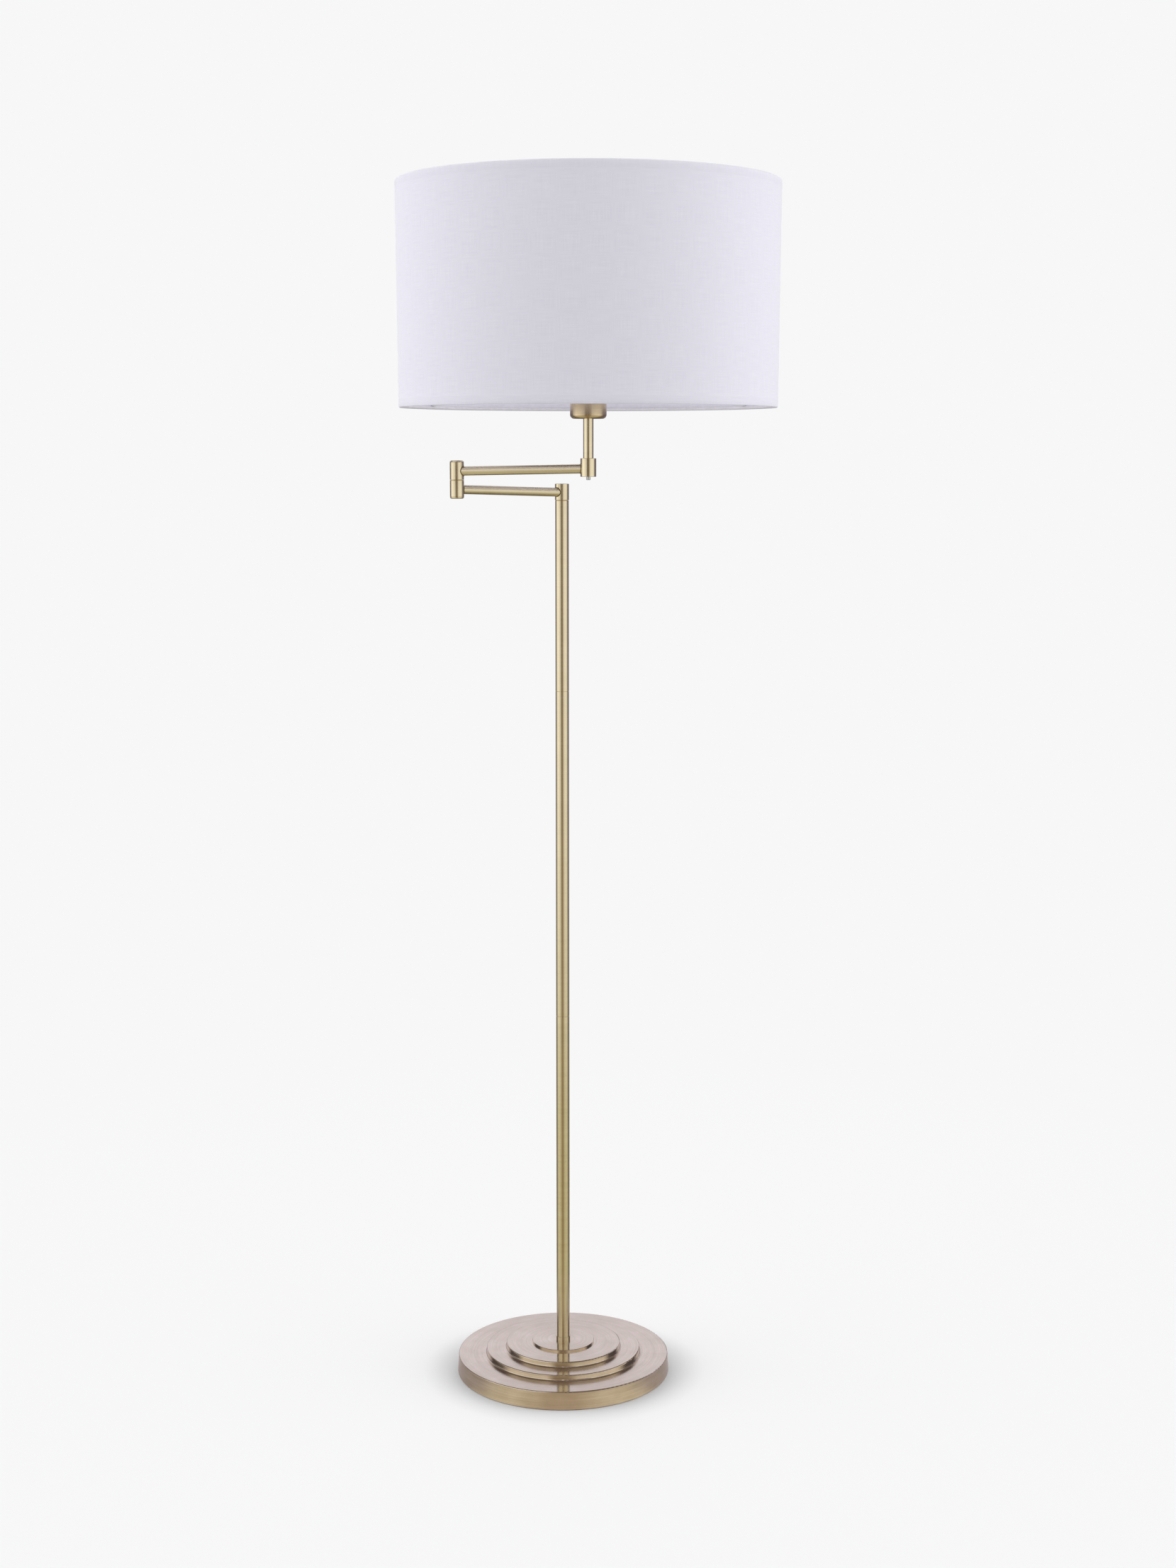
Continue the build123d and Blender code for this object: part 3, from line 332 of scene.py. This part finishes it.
dress(spun_brass, "base_cover", "base_top_disc")
dress(pole_brass, "pole_collar", "pole_lower", "pole_middle", "pole_upper", "head_cap")
dress(elbow_brass, "elbow_bottom_cap", "elbow_top_cap")
dress(stem_brass, "holder_barrel_plug", "stem_tube")
dress(shaded_cup_brass, "holder_cup")
dress(machined_brass, "pole_foot_insert", "pole_coupler_lower", "pole_coupler_upper",
      "pole_top_insert", "head_pivot", "elbow_pivot")
dress(cast_iron, "base_weight")
dress(wool_felt, "base_felt")
dress(zinc_plate, "base_washer", "base_nut", "base_nipple", "head_stop_pin", "elbow_stop_pin",
      "head_spring_washer", "elbow_spring_washer", "head_pivot_nut", "elbow_pivot_nut",
      "stem_nipple", "cup_nipple", "cup_nut", "barrel_screw")
dress(phenolic, "cable_bush", "terminal_block", "shade_clamp_ring", "lampholder_body")
dress(bronze, "head_washer", "elbow_washer")
dress(flex_jacket, "inner_flex_pole", "inner_flex_lower_arm", "inner_flex_upper_arm")
dress(nickel_plate, "lampholder_shell", "lampholder_contact", "bulb_cap")
dress(opal_glass, "bulb_glass")
dress(styrene_film, "shade_liner")
dress(powder_coat, "shade_ring_bottom", "shade_ring_top", "spider_washer", "spider_spokes")


# ---------------------------------------------------------------- mesh helpers
def new_piece(name, mesh, body, *materials):
    piece = bpy.data.objects.new(name, mesh)
    scene.collection.objects.link(piece)
    for material in materials:
        mesh.materials.append(material)
    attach(piece, body)
    return piece


def skin(name, rings, looped, hem_rows=(), cloth_lengths=None):
    """A closed mesh over rings of points. The last ring meets the first, or both ends are capped.

    cloth_lengths makes a UV map in metres: the way from ring to ring, and each point's place
    along its own ring. Faces in hem_rows take the second material.
    """
    build = bmesh.new()
    cloth = build.loops.layers.uv.new("cloth") if cloth_lengths else None
    grid = [[build.verts.new(point) for point in ring] for ring in rings]
    rows = len(grid[0])
    for column in range(len(grid) if looped else len(grid) - 1):
        here, there = grid[column], grid[(column + 1) % len(grid)]
        for row in range(rows):
            after = (row + 1) % rows
            face = build.faces.new((here[row], there[row], there[after], here[after]))
            face.smooth = True
            face.material_index = 1 if row in hem_rows else 0
            if cloth:
                corners = ((column, row), (column + 1, row), (column + 1, after), (column, after))
                for loop, (steps, place) in zip(face.loops, corners):
                    loop[cloth].uv = (cloth_lengths[0] * steps, cloth_lengths[1][place])
    for ring in () if looped else (grid[0], grid[-1]):
        hub = build.verts.new(sum((vertex.co for vertex in ring), Vector()) / rows)
        for row in range(rows):
            build.faces.new((hub, ring[row], ring[(row + 1) % rows]))
    bmesh.ops.recalc_face_normals(build, faces=build.faces)
    mesh = bpy.data.meshes.new(name)
    build.to_mesh(mesh)
    build.free()
    return mesh


def swept(profile, centre, start, sweep, columns):
    """Copies of a closed profile of (radius, height), set out round an upright axis."""
    count = columns if sweep == TURN else columns + 1
    headings = [start + sweep * column / columns for column in range(count)]
    return [[(centre.x + radius * cos(heading), centre.y + radius * sin(heading), z)
             for radius, z in profile] for heading in headings]


# ---------------------------------------------------------------- swing joints
HEAD_RADIUS, ELBOW_RADIUS, HOLDER_RADIUS = 8.8 * MM, 8.5 * MM, 9.4 * MM
BARREL_WALL = 1.7 * MM
CHAMFER = 0.3 * MM
BARREL_FACETS = 128
ARM_RADIUS = 5.5 * MM
ARM_FACETS = 96
COPE_DEPTH = 0.5 * MM      # how far a coped end sits inside the face of its barrel
BRAZE_RADIUS = 0.55 * MM
BRAZE_LIFT = 0.1 * MM      # how far the bead's middle stands off both faces
BRAZE_STEPS, BRAZE_CORNERS = 72, 10
SHARP = radians(25)


def joint_piece(name, rings, looped, node, body, material):
    """A turned or coped piece that stands for its plainer CAD node."""
    mesh = skin(name, rings, looped)
    mesh.set_sharp_from_angle(angle=SHARP)
    piece = new_piece(name, mesh, body, material)
    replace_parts(piece, node)


def barrel(node, body, material, centre, radius, lid_end, lid, pin):
    """A turned barrel: open at one end, with a lid at the other (0 or 1), pierced for the pin."""
    foot, top = level(node, 0), level(node, 1)
    bore = radius - BARREL_WALL
    profile = [(radius - CHAMFER, foot), (radius, foot + CHAMFER),
               (radius, top - CHAMFER), (radius - CHAMFER, top)]
    if lid_end:
        profile += [(pin, top), (pin, top - lid), (bore, top - lid), (bore, foot)]
    else:
        profile += [(bore, top), (bore, foot + lid), (pin, foot + lid), (pin, foot)]
    joint_piece(node + "_turned", swept(profile, centre, 0, TURN, BARREL_FACETS), True,
                node, body, material)


def cope_line(foot, run, centre, barrel_radius, tube_radius, way, count):
    """Where a tube along run meets an upright barrel: one closed ring of points."""
    side = run.cross(UP).normalized()
    over = side.cross(run)
    ring = []
    for step in range(count):
        turn = TURN * step / count
        start = foot + side * tube_radius * cos(turn) + over * tube_radius * sin(turn)
        flat, reach = (start - centre).xy, run.xy
        half = flat.dot(reach)
        root = sqrt(half ** 2 - reach.dot(reach) * (flat.dot(flat) - barrel_radius ** 2))
        ring.append(start + run * (way * root - half) / reach.dot(reach))
    return ring


def coped_arm(node, body, material, foot, run, near, far):
    """A straight tube coped to the barrels at its two ends, with a bead of brazing round each.

    near and far are (axis, radius) of the two barrels.
    """
    ends = (("inner", *near, 1), ("outer", *far, -1))
    rings = [cope_line(foot, run, centre, radius - COPE_DEPTH, ARM_RADIUS, way, ARM_FACETS)
             for _, centre, radius, way in ends]
    joint_piece(node + "_tube", rings, False, node, body, material)
    for label, centre, radius, way in ends:
        braze_ring(node + "_braze_" + label, body, foot, run, centre, radius, way)


def braze_ring(name, body, foot, run, centre, barrel_radius, way):
    """A fine bead of brazing that follows the joint between an arm and its barrel."""
    line = cope_line(foot, run, centre, barrel_radius + BRAZE_LIFT, ARM_RADIUS + BRAZE_LIFT,
                     way, BRAZE_STEPS)
    rings = []
    for index, point in enumerate(line):
        ahead = (line[(index + 1) % BRAZE_STEPS] - line[index - 1]).normalized()
        across = ahead.cross(run).normalized()
        along = across.cross(ahead)
        turns = [TURN * corner / BRAZE_CORNERS for corner in range(BRAZE_CORNERS)]
        rings.append([point + BRAZE_RADIUS * (across * cos(turn) + along * sin(turn))
                      for turn in turns])
    new_piece(name, skin(name, rings, True), body, braze)


barrel("head_barrel", "lower_swing_arm", pole_brass, POLE_AXIS, HEAD_RADIUS,
       0, 3 * MM, 4 * MM)
barrel("elbow_lower_barrel", "lower_swing_arm", elbow_brass, ELBOW_AXIS, ELBOW_RADIUS,
       1, 3 * MM, 4 * MM)
barrel("elbow_upper_barrel", "upper_swing_arm", elbow_brass, ELBOW_AXIS, ELBOW_RADIUS,
       0, 3 * MM, 4.05 * MM)
barrel("holder_barrel", "upper_swing_arm", stem_brass, STEM_AXIS, HOLDER_RADIUS,
       1, 4 * MM, 5 * MM)
coped_arm("lower_arm", "lower_swing_arm", lower_arm_brass, LOWER_ARM_FOOT, LOWER_ARM_RUN,
          (POLE_AXIS, HEAD_RADIUS), (ELBOW_AXIS, ELBOW_RADIUS))
coped_arm("upper_arm", "upper_swing_arm", upper_arm_brass, UPPER_ARM_FOOT, UPPER_ARM_RUN,
          (ELBOW_AXIS, ELBOW_RADIUS), (STEM_AXIS, HOLDER_RADIUS))


# ---------------------------------------------------------------- shade cover
SHADE_FOOT, SHADE_TOP = level("shade_fabric", 0), level("shade_fabric", 1)
FOOT_RADIUS, TOP_RADIUS = 224.0 * MM, 226.0 * MM
DRUM_FACETS = 288
HEM_HEIGHT = 10 * MM       # the turned-over edge top and bottom
BODY_INSET = 0.06 * MM     # how far the cloth between the hems is set in
COVER_DEPTH = 0.7 * MM     # from the outer face to the inner one
BODY_ROWS = 26
LAP_WIDTH = 12 * MM
LAP_PROUD, LAP_SUNK = 0.30 * MM, 0.35 * MM
LAP_HEADING = radians(96)  # at the back of the drum


def side_radius(z):
    return FOOT_RADIUS + (TOP_RADIUS - FOOT_RADIUS) * (z - SHADE_FOOT) / (SHADE_TOP - SHADE_FOOT)


def outline(points):
    """A profile from (height, inset) pairs, where the inset is measured in from the drum's side."""
    return [(side_radius(z) - inset, z) for z, inset in points]


def drum_section():
    """The cover's section: its outer face going up, with two hems, and its inner face down."""
    body_foot, body_top = SHADE_FOOT + HEM_HEIGHT, SHADE_TOP - HEM_HEIGHT
    foot_edge = [(SHADE_FOOT + 0.3 * MM, 0.4 * MM), (SHADE_FOOT + 1.1 * MM, 0.0),
                 (SHADE_FOOT + HEM_HEIGHT * 0.5, 0.0), (SHADE_FOOT + HEM_HEIGHT * 0.94, 0.0)]
    body = [(body_foot + (body_top - body_foot) * row / BODY_ROWS, BODY_INSET)
            for row in range(BODY_ROWS + 1)]
    top_edge = [(SHADE_TOP - HEM_HEIGHT * 0.94, 0.0), (SHADE_TOP - HEM_HEIGHT * 0.5, 0.0),
                (SHADE_TOP - 1.1 * MM, 0.0), (SHADE_TOP - 0.3 * MM, 0.4 * MM)]
    inner = [(SHADE_TOP, 0.9 * MM), (SHADE_TOP - 0.9 * MM, COVER_DEPTH), (body_top, COVER_DEPTH),
             (body_foot, COVER_DEPTH), (SHADE_FOOT + 0.9 * MM, COVER_DEPTH),
             (SHADE_FOOT, 0.9 * MM)]
    outer = foot_edge + body + top_edge
    last = len(outer) + len(inner) - 1
    hem_rows = [0, 1, 2, *range(len(outer) - 4, len(outer) + 1), last - 1, last]
    return outline(outer + inner), hem_rows


def cloth_piece(name, section, start, sweep, columns, hem_rows, *materials):
    """A sheet of linen wrapped round the drum, with a UV map in metres."""
    rings = swept(section, STEM_AXIS, start, sweep, columns)
    lengths = (section[0][0] * sweep / columns, [z for _, z in section])
    mesh = skin(name, rings, sweep == TURN, hem_rows, lengths)
    piece = new_piece(name, mesh, "upper_swing_arm", *materials)
    return piece


cover_section, cover_hem_rows = drum_section()
shade_cover = cloth_piece("shade_linen_cover", cover_section, 0, TURN, DRUM_FACETS,
                          cover_hem_rows, shade_linen, hem_linen)
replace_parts(shade_cover, "shade_fabric")

# The cover's upright lap joint, pressed on over the cut edge.
lap_section = outline([
    (SHADE_FOOT + 0.4 * MM, 0.0), (SHADE_FOOT + 1.0 * MM, -LAP_PROUD),
    (SHADE_TOP - 1.0 * MM, -LAP_PROUD), (SHADE_TOP - 0.4 * MM, 0.0),
    (SHADE_TOP - 0.6 * MM, LAP_SUNK), (SHADE_FOOT + 0.6 * MM, LAP_SUNK)])
lap_sweep = LAP_WIDTH / TOP_RADIUS
lap = cloth_piece("shade_lap_seam", lap_section, LAP_HEADING - lap_sweep / 2, lap_sweep, 4, (),
                  shade_linen)


# ---------------------------------------------------------------- pieces grown by Geometry Nodes
WIRE_RADIUS = 1.6 * MM
BEAD_RADIUS = 2.1 * MM
HUB_BEAD_STRETCH, RIM_BEAD_STRETCH = (1.4, 1.0, 0.7), (0.8, 1.3, 0.7)
KNEE_SHARE, KNEE_LIFT = 0.94, 1.2 * MM     # where a spoke bends, out from the hub and above the rim


def geometry_tree(name, sizes):
    """An empty geometry tree with named inputs: numbers, whole numbers and one material."""
    tree = bpy.data.node_groups.new(name, "GeometryNodeTree")
    tree.interface.new_socket("Geometry", in_out="OUTPUT", socket_type="NodeSocketGeometry")
    for label, value in sizes.items():
        kind = ("NodeSocketMaterial" if isinstance(value, bpy.types.Material)
                else "NodeSocketInt" if isinstance(value, int) else "NodeSocketFloat")
        tree.interface.new_socket(label, in_out="INPUT", socket_type=kind)
    put = partial(add, tree)
    return tree, put, put("NodeGroupInput").outputs


def grow(name, tree, geometry, given, sizes):
    """Ends the tree on the stem's axis, sets its inputs, and makes what it grows a plain mesh."""
    put = partial(add, tree)
    placed = put("GeometryNodeTransform", {0: geometry, "Translation": tuple(STEM_AXIS)})
    real = put("GeometryNodeRealizeInstances", {0: placed})
    smooth = put("GeometryNodeSetShadeSmooth", {0: real})
    put("NodeGroupOutput",
        {0: put("GeometryNodeSetMaterial", {0: smooth, "Material": given["Finish"]})})
    piece = bpy.data.objects.new(name, bpy.data.meshes.new(name))
    scene.collection.objects.link(piece)
    modifier = piece.modifiers.new(name, "NODES")
    modifier.node_group = tree
    for item in tree.interface.items_tree:
        if item.in_out == "INPUT":
            modifier[item.identifier] = sizes[item.name]
    bpy.context.view_layer.update()
    grown = piece.evaluated_get(bpy.context.evaluated_depsgraph_get())
    mesh = bpy.data.meshes.new_from_object(grown)
    piece.modifiers.clear()
    piece.data = mesh
    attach(piece, "upper_swing_arm")
    return piece


def spider():
    """Spokes of bent wire, welded to the hub washer and the bottom hoop, a bead at each weld."""
    sizes = {"Spokes": 3, "Turn": radians(30), "Wire Radius": WIRE_RADIUS,
             "Hub Radius": 28.5 * MM, "Hub Height": level("spider_washer", 1) + WIRE_RADIUS,
             "Rim Radius": 220.6 * MM, "Rim Height": level("shade_ring_bottom", 1) + 1.5 * MM,
             "Finish": powder_coat}
    tree, put, given = geometry_tree("welded spokes", sizes)
    hub = put("ShaderNodeCombineXYZ", {"X": given["Hub Radius"], "Z": given["Hub Height"]})
    rim = put("ShaderNodeCombineXYZ", {"X": given["Rim Radius"], "Z": given["Rim Height"]})
    knee = put("ShaderNodeCombineXYZ", {
        "X": put("ShaderNodeMath", {0: given["Rim Radius"], 1: KNEE_SHARE}, operation="MULTIPLY"),
        "Z": put("ShaderNodeMath", {0: given["Rim Height"], 1: KNEE_LIFT}, operation="ADD")})
    line = put("GeometryNodeCurveQuadraticBezier",
               {"Resolution": 20, "Start": hub, "Middle": knee, "End": rim})
    ring = put("GeometryNodeCurvePrimitiveCircle",
               {"Resolution": 12, "Radius": given["Wire Radius"]})
    wire = put("GeometryNodeCurveToMesh",
               {"Curve": line, "Profile Curve": ring, "Fill Caps": True})
    bead = put("GeometryNodeMeshUVSphere", {"Segments": 14, "Rings": 9, "Radius": BEAD_RADIUS})
    hub_bead = put("GeometryNodeTransform",
                   {0: bead, "Translation": hub, "Scale": HUB_BEAD_STRETCH})
    rim_bead = put("GeometryNodeTransform",
                   {0: bead, "Translation": rim, "Scale": RIM_BEAD_STRETCH})
    join = put("GeometryNodeJoinGeometry")
    for part in (wire, hub_bead, rim_bead):
        tree.links.new(part.outputs[0], join.inputs[0])
    turns = put("ShaderNodeMath", {0: put("GeometryNodeInputIndex"), 1: TURN},
                operation="MULTIPLY")
    share = put("ShaderNodeMath", {0: turns, 1: given["Spokes"]}, operation="DIVIDE")
    heading = put("ShaderNodeCombineXYZ", {
        "Z": put("ShaderNodeMath", {0: share, 1: given["Turn"]}, operation="ADD")})
    spokes = put("GeometryNodeInstanceOnPoints", {
        "Points": put("GeometryNodePoints", {"Count": given["Spokes"]}),
        "Instance": join, "Rotation": heading})
    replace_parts(grow("spider_wires", tree, spokes, given, sizes), "spider_spokes")


def thread(name, finish, radius, foot, height, pitch, ridge):
    """A rolled screw thread: one ridge wound round the stem's axis."""
    sizes = {"Radius": radius, "Foot": foot, "Height": height, "Turns": height / pitch,
             "Ridge": ridge, "Finish": finish}
    tree, put, given = geometry_tree(name, sizes)
    line = put("GeometryNodeCurveSpiral", {
        "Resolution": 48, "Rotations": given["Turns"], "Start Radius": given["Radius"],
        "End Radius": given["Radius"], "Height": given["Height"]})
    ring = put("GeometryNodeCurvePrimitiveCircle", {"Resolution": 8, "Radius": given["Ridge"]})
    coil = put("GeometryNodeCurveToMesh",
               {"Curve": line, "Profile Curve": ring, "Fill Caps": True})
    raised = put("GeometryNodeTransform", {
        0: coil, "Translation": put("ShaderNodeCombineXYZ", {"Z": given["Foot"]})})
    grow(name, tree, raised, given, sizes)


spider()
thread("bulb_screw_thread", nickel_plate, radius=12.7 * MM,
       foot=level("bulb_cap", 1) - 21 * MM, height=17 * MM, pitch=3.63 * MM, ridge=0.7 * MM)
thread("lampholder_outer_thread", phenolic, radius=19.4 * MM,
       foot=level("shade_clamp_ring", 1) + 1.2 * MM, height=11 * MM, pitch=2.6 * MM,
       ridge=0.75 * MM)


# ---------------------------------------------------------------- studio
BRIGHTEST = 3.0            # what full white on a studio ramp stands for
BACKDROP = "F7F7F7"
WARM, AMBER, LILAC, DUSK = "FFFCF4", "FFEAD0", "F2F0FF", "8A7F8C"
ROSE, PETAL, PEACH, STRAW, HONEY = "F0E6E4", "FFF2F2", "FFF2EE", "FFF4DC", "FFEBD0"
SOFT, OVERHEAD, HIGH_UP = "F9F8FD", "FBFAFC", "BCA8A0"
# What the brushed metal sees round it: degrees round from the front of the lamp, colour and
# brightness. At eye level two tall softboxes stand left and right, with a dark gap between them.
EYE_LEVEL = [(-180, DUSK, 0.9), (-138, DUSK, 0.9), (-122, DUSK, 0.6), (-106, WARM, 0.85),
             (-84, WARM, 1.42), (-58, WARM, 1.26), (-36, WARM, 0.96), (-26, WARM, 0.76),
             (-17, AMBER, 0.2), (6, AMBER, 0.2), (15, AMBER, 0.44), (24, WARM, 0.92),
             (50, WARM, 1.2), (76, WARM, 1.12), (90, WARM, 0.8), (101, WARM, 0.36),
             (114, DUSK, 0.6), (140, DUSK, 0.9), (180, DUSK, 0.9)]
# Above them the gap is narrower, the sides fall dark, and the wall behind is lit.
RAISED = [(-180, LILAC, 1.02), (-142, LILAC, 1.02), (-128, DUSK, 0.4), (-100, DUSK, 0.4),
          (-84, WARM, 0.95), (-42, WARM, 1.0), (-24, WARM, 1.25), (-12, AMBER, 0.45),
          (8, AMBER, 0.45), (22, WARM, 0.9), (60, WARM, 1.0), (88, WARM, 1.1),
          (104, DUSK, 0.4), (130, DUSK, 0.4), (144, LILAC, 1.02), (180, LILAC, 1.02)]
# The floor some way off, and the floor close in round the base, by where it lies.
NEARBY = [(-180, ROSE, 0.5), (-122, ROSE, 0.34), (-102, WARM, 0.72), (-80, WARM, 1.1),
          (-40, WARM, 0.98), (-15, AMBER, 0.8), (8, AMBER, 0.8), (30, WARM, 0.98),
          (76, WARM, 1.1), (100, WARM, 0.74), (120, ROSE, 0.34), (180, ROSE, 0.5)]
CLOSE_IN = [(-180, PETAL, 0.6), (-110, PETAL, 0.52), (-88, PETAL, 0.4), (-64, PEACH, 0.42),
            (-46, STRAW, 0.66), (-32, STRAW, 0.74), (-9, HONEY, 0.54), (9, HONEY, 0.54),
            (32, STRAW, 0.74), (46, STRAW, 0.7), (66, PEACH, 0.44), (88, PETAL, 0.42),
            (110, PETAL, 0.52), (180, PETAL, 0.6)]
# The same for the cloth, which sees only the broad balance of light.
SOFT_LIGHT = [(-180, SOFT, 1.8), (-135, SOFT, 0.7), (-90, SOFT, 2.95), (-60, SOFT, 2.1),
              (-30, SOFT, 0.1), (0, SOFT, 0.06), (30, SOFT, 0.55), (60, SOFT, 2.35),
              (90, SOFT, 2.75), (135, SOFT, 0.3), (180, SOFT, 1.8)]


def studio_ramp(put, share, stops):
    """A colour ramp all round the lamp, from (degrees, colour, brightness) stops."""
    ramp = put("ShaderNodeValToRGB", {"Fac": share})
    elements = ramp.color_ramp.elements
    for degrees, _, _ in stops[1:-1]:
        elements.new(0.5 + degrees / 360)
    for element, (degrees, colour, gain) in zip(elements, stops):
        element.position = 0.5 + degrees / 360
        element.color = tint(colour, gain / BRIGHTEST)
    return ramp


def round_the_lamp(put, place):
    """The height, and the way round the lamp as a share of a turn, 0.5 being straight in front."""
    parts = put("ShaderNodeSeparateXYZ", {0: place})
    nearer = put("ShaderNodeMath", {0: parts.outputs["Y"], 1: -1.0}, operation="MULTIPLY")
    heading = put("ShaderNodeMath", {0: parts.outputs["X"], 1: nearer}, operation="ARCTAN2")
    share = put("ShaderNodeMath", {0: heading, 1: 1 / TURN, 2: 0.5}, operation="MULTIPLY_ADD")
    return share, parts.outputs["Z"]


def environment():
    """The room: one balance of light for the metal's reflections, and a softer one for the rest."""
    world = bpy.data.worlds.new("studio")
    scene.world = world
    world.use_nodes = True
    world.node_tree.nodes.clear()
    put = partial(add, world.node_tree)
    share, height = round_the_lamp(put, put("ShaderNodeTexCoord").outputs["Generated"])

    def rising(low, high, below, above):
        """A mix from one light to another over a range of heights, 1 being straight up."""
        climb = put("ShaderNodeMapRange", {"Value": height, "From Min": low, "From Max": high})
        return put("ShaderNodeMix", {0: climb, 6: below, 7: above}, data_type="RGBA")

    walls = rising(0.06, 0.2, studio_ramp(put, share, EYE_LEVEL), studio_ramp(put, share, RAISED))
    mirrored = rising(0.36, 0.72, walls, tint(HIGH_UP, 0.42 / BRIGHTEST))
    soft = rising(0.55, 0.85, studio_ramp(put, share, SOFT_LIGHT),
                  tint(OVERHEAD, 0.85 / BRIGHTEST))
    rays = put("ShaderNodeLightPath").outputs
    seen = put("ShaderNodeMix", {0: rays["Is Glossy Ray"], 6: soft, 7: mirrored},
               data_type="RGBA")
    lit = put("ShaderNodeBackground", {"Color": seen, "Strength": BRIGHTEST})
    plain = put("ShaderNodeBackground", {"Color": tint(BACKDROP), "Strength": 1.0})
    both = put("ShaderNodeMixShader", {0: rays["Is Camera Ray"], 1: lit, 2: plain})
    put("ShaderNodeOutputWorld", {"Surface": both})


def floor():
    """A plain pale floor, which carries the softboxes' long reflections for the metal to mirror.

    Its paint carries a painted contact shadow, darker where it meets the base, and fades into the
    backdrop some way off.
    """
    material, put = new_material("pale studio floor")
    place = put("ShaderNodeTexCoord").outputs["Object"]
    share, _ = round_the_lamp(put, place)
    distance = put("ShaderNodeVectorMath", {0: place}, operation="LENGTH")

    def outward(way, low, high, near, far):
        """A colour that goes from near to far between two distances."""
        reached = put("ShaderNodeMapRange", {"Value": way, "From Min": low, "From Max": high})
        return put("ShaderNodeMix", {0: reached, 6: near, 7: far}, data_type="RGBA")

    further = put("ShaderNodeMath", {0: distance, 1: 2.0}, operation="ADD")
    depth = put("ShaderNodeMath", {0: distance, 1: further}, operation="DIVIDE")
    contrast = put("ShaderNodeMath", {0: depth, 1: 0.3}, operation="MAXIMUM")
    streaks = put("ShaderNodeMix", {
        0: contrast, 6: studio_ramp(put, share, NEARBY), 7: studio_ramp(put, share, EYE_LEVEL)},
        data_type="RGBA")
    warmth = outward(depth, 0.35, 0.8, tint("FFFAD9", 0.62), tint("FFFFFF"))
    far_glow = put("ShaderNodeVectorMath", {0: streaks, 1: warmth}, operation="MULTIPLY")
    glow_colour = outward(distance, 0.2, 0.34, studio_ramp(put, share, CLOSE_IN), far_glow)
    glow = put("ShaderNodeEmission", {"Color": glow_colour, "Strength": BRIGHTEST})
    bounce = put("ShaderNodeEmission", {"Color": tint("F6F4FA"), "Strength": 0.74})
    # Painted shadow: the paint goes darker close round the base and stands for the base's contact
    # shadow.
    paint = put("ShaderNodeBsdfDiffuse", {
        "Color": outward(distance, 0.137, 0.185, tint("E2E4E3"), tint("F2F3F0"))})
    backdrop = put("ShaderNodeEmission", {"Color": tint(BACKDROP), "Strength": 1.0})
    beyond = put("ShaderNodeMapRange", {"Value": distance, "From Min": 0.45, "From Max": 1.6})
    plain = put("ShaderNodeMixShader", {0: beyond, 1: paint, 2: backdrop})
    rays = put("ShaderNodeLightPath").outputs
    matt = put("ShaderNodeMixShader", {0: rays["Is Diffuse Ray"], 1: plain, 2: bounce})
    surface = put("ShaderNodeMixShader", {0: rays["Is Glossy Ray"], 1: matt, 2: glow})
    put("ShaderNodeOutputMaterial", {"Surface": surface})
    mesh = bpy.data.meshes.new("studio_floor")
    build = bmesh.new()
    bmesh.ops.create_grid(build, x_segments=1, y_segments=1, size=60)
    build.to_mesh(mesh)
    build.free()
    mesh.materials.append(material)
    ground = bpy.data.objects.new("studio_floor", mesh)
    scene.collection.objects.link(ground)


environment()
floor()
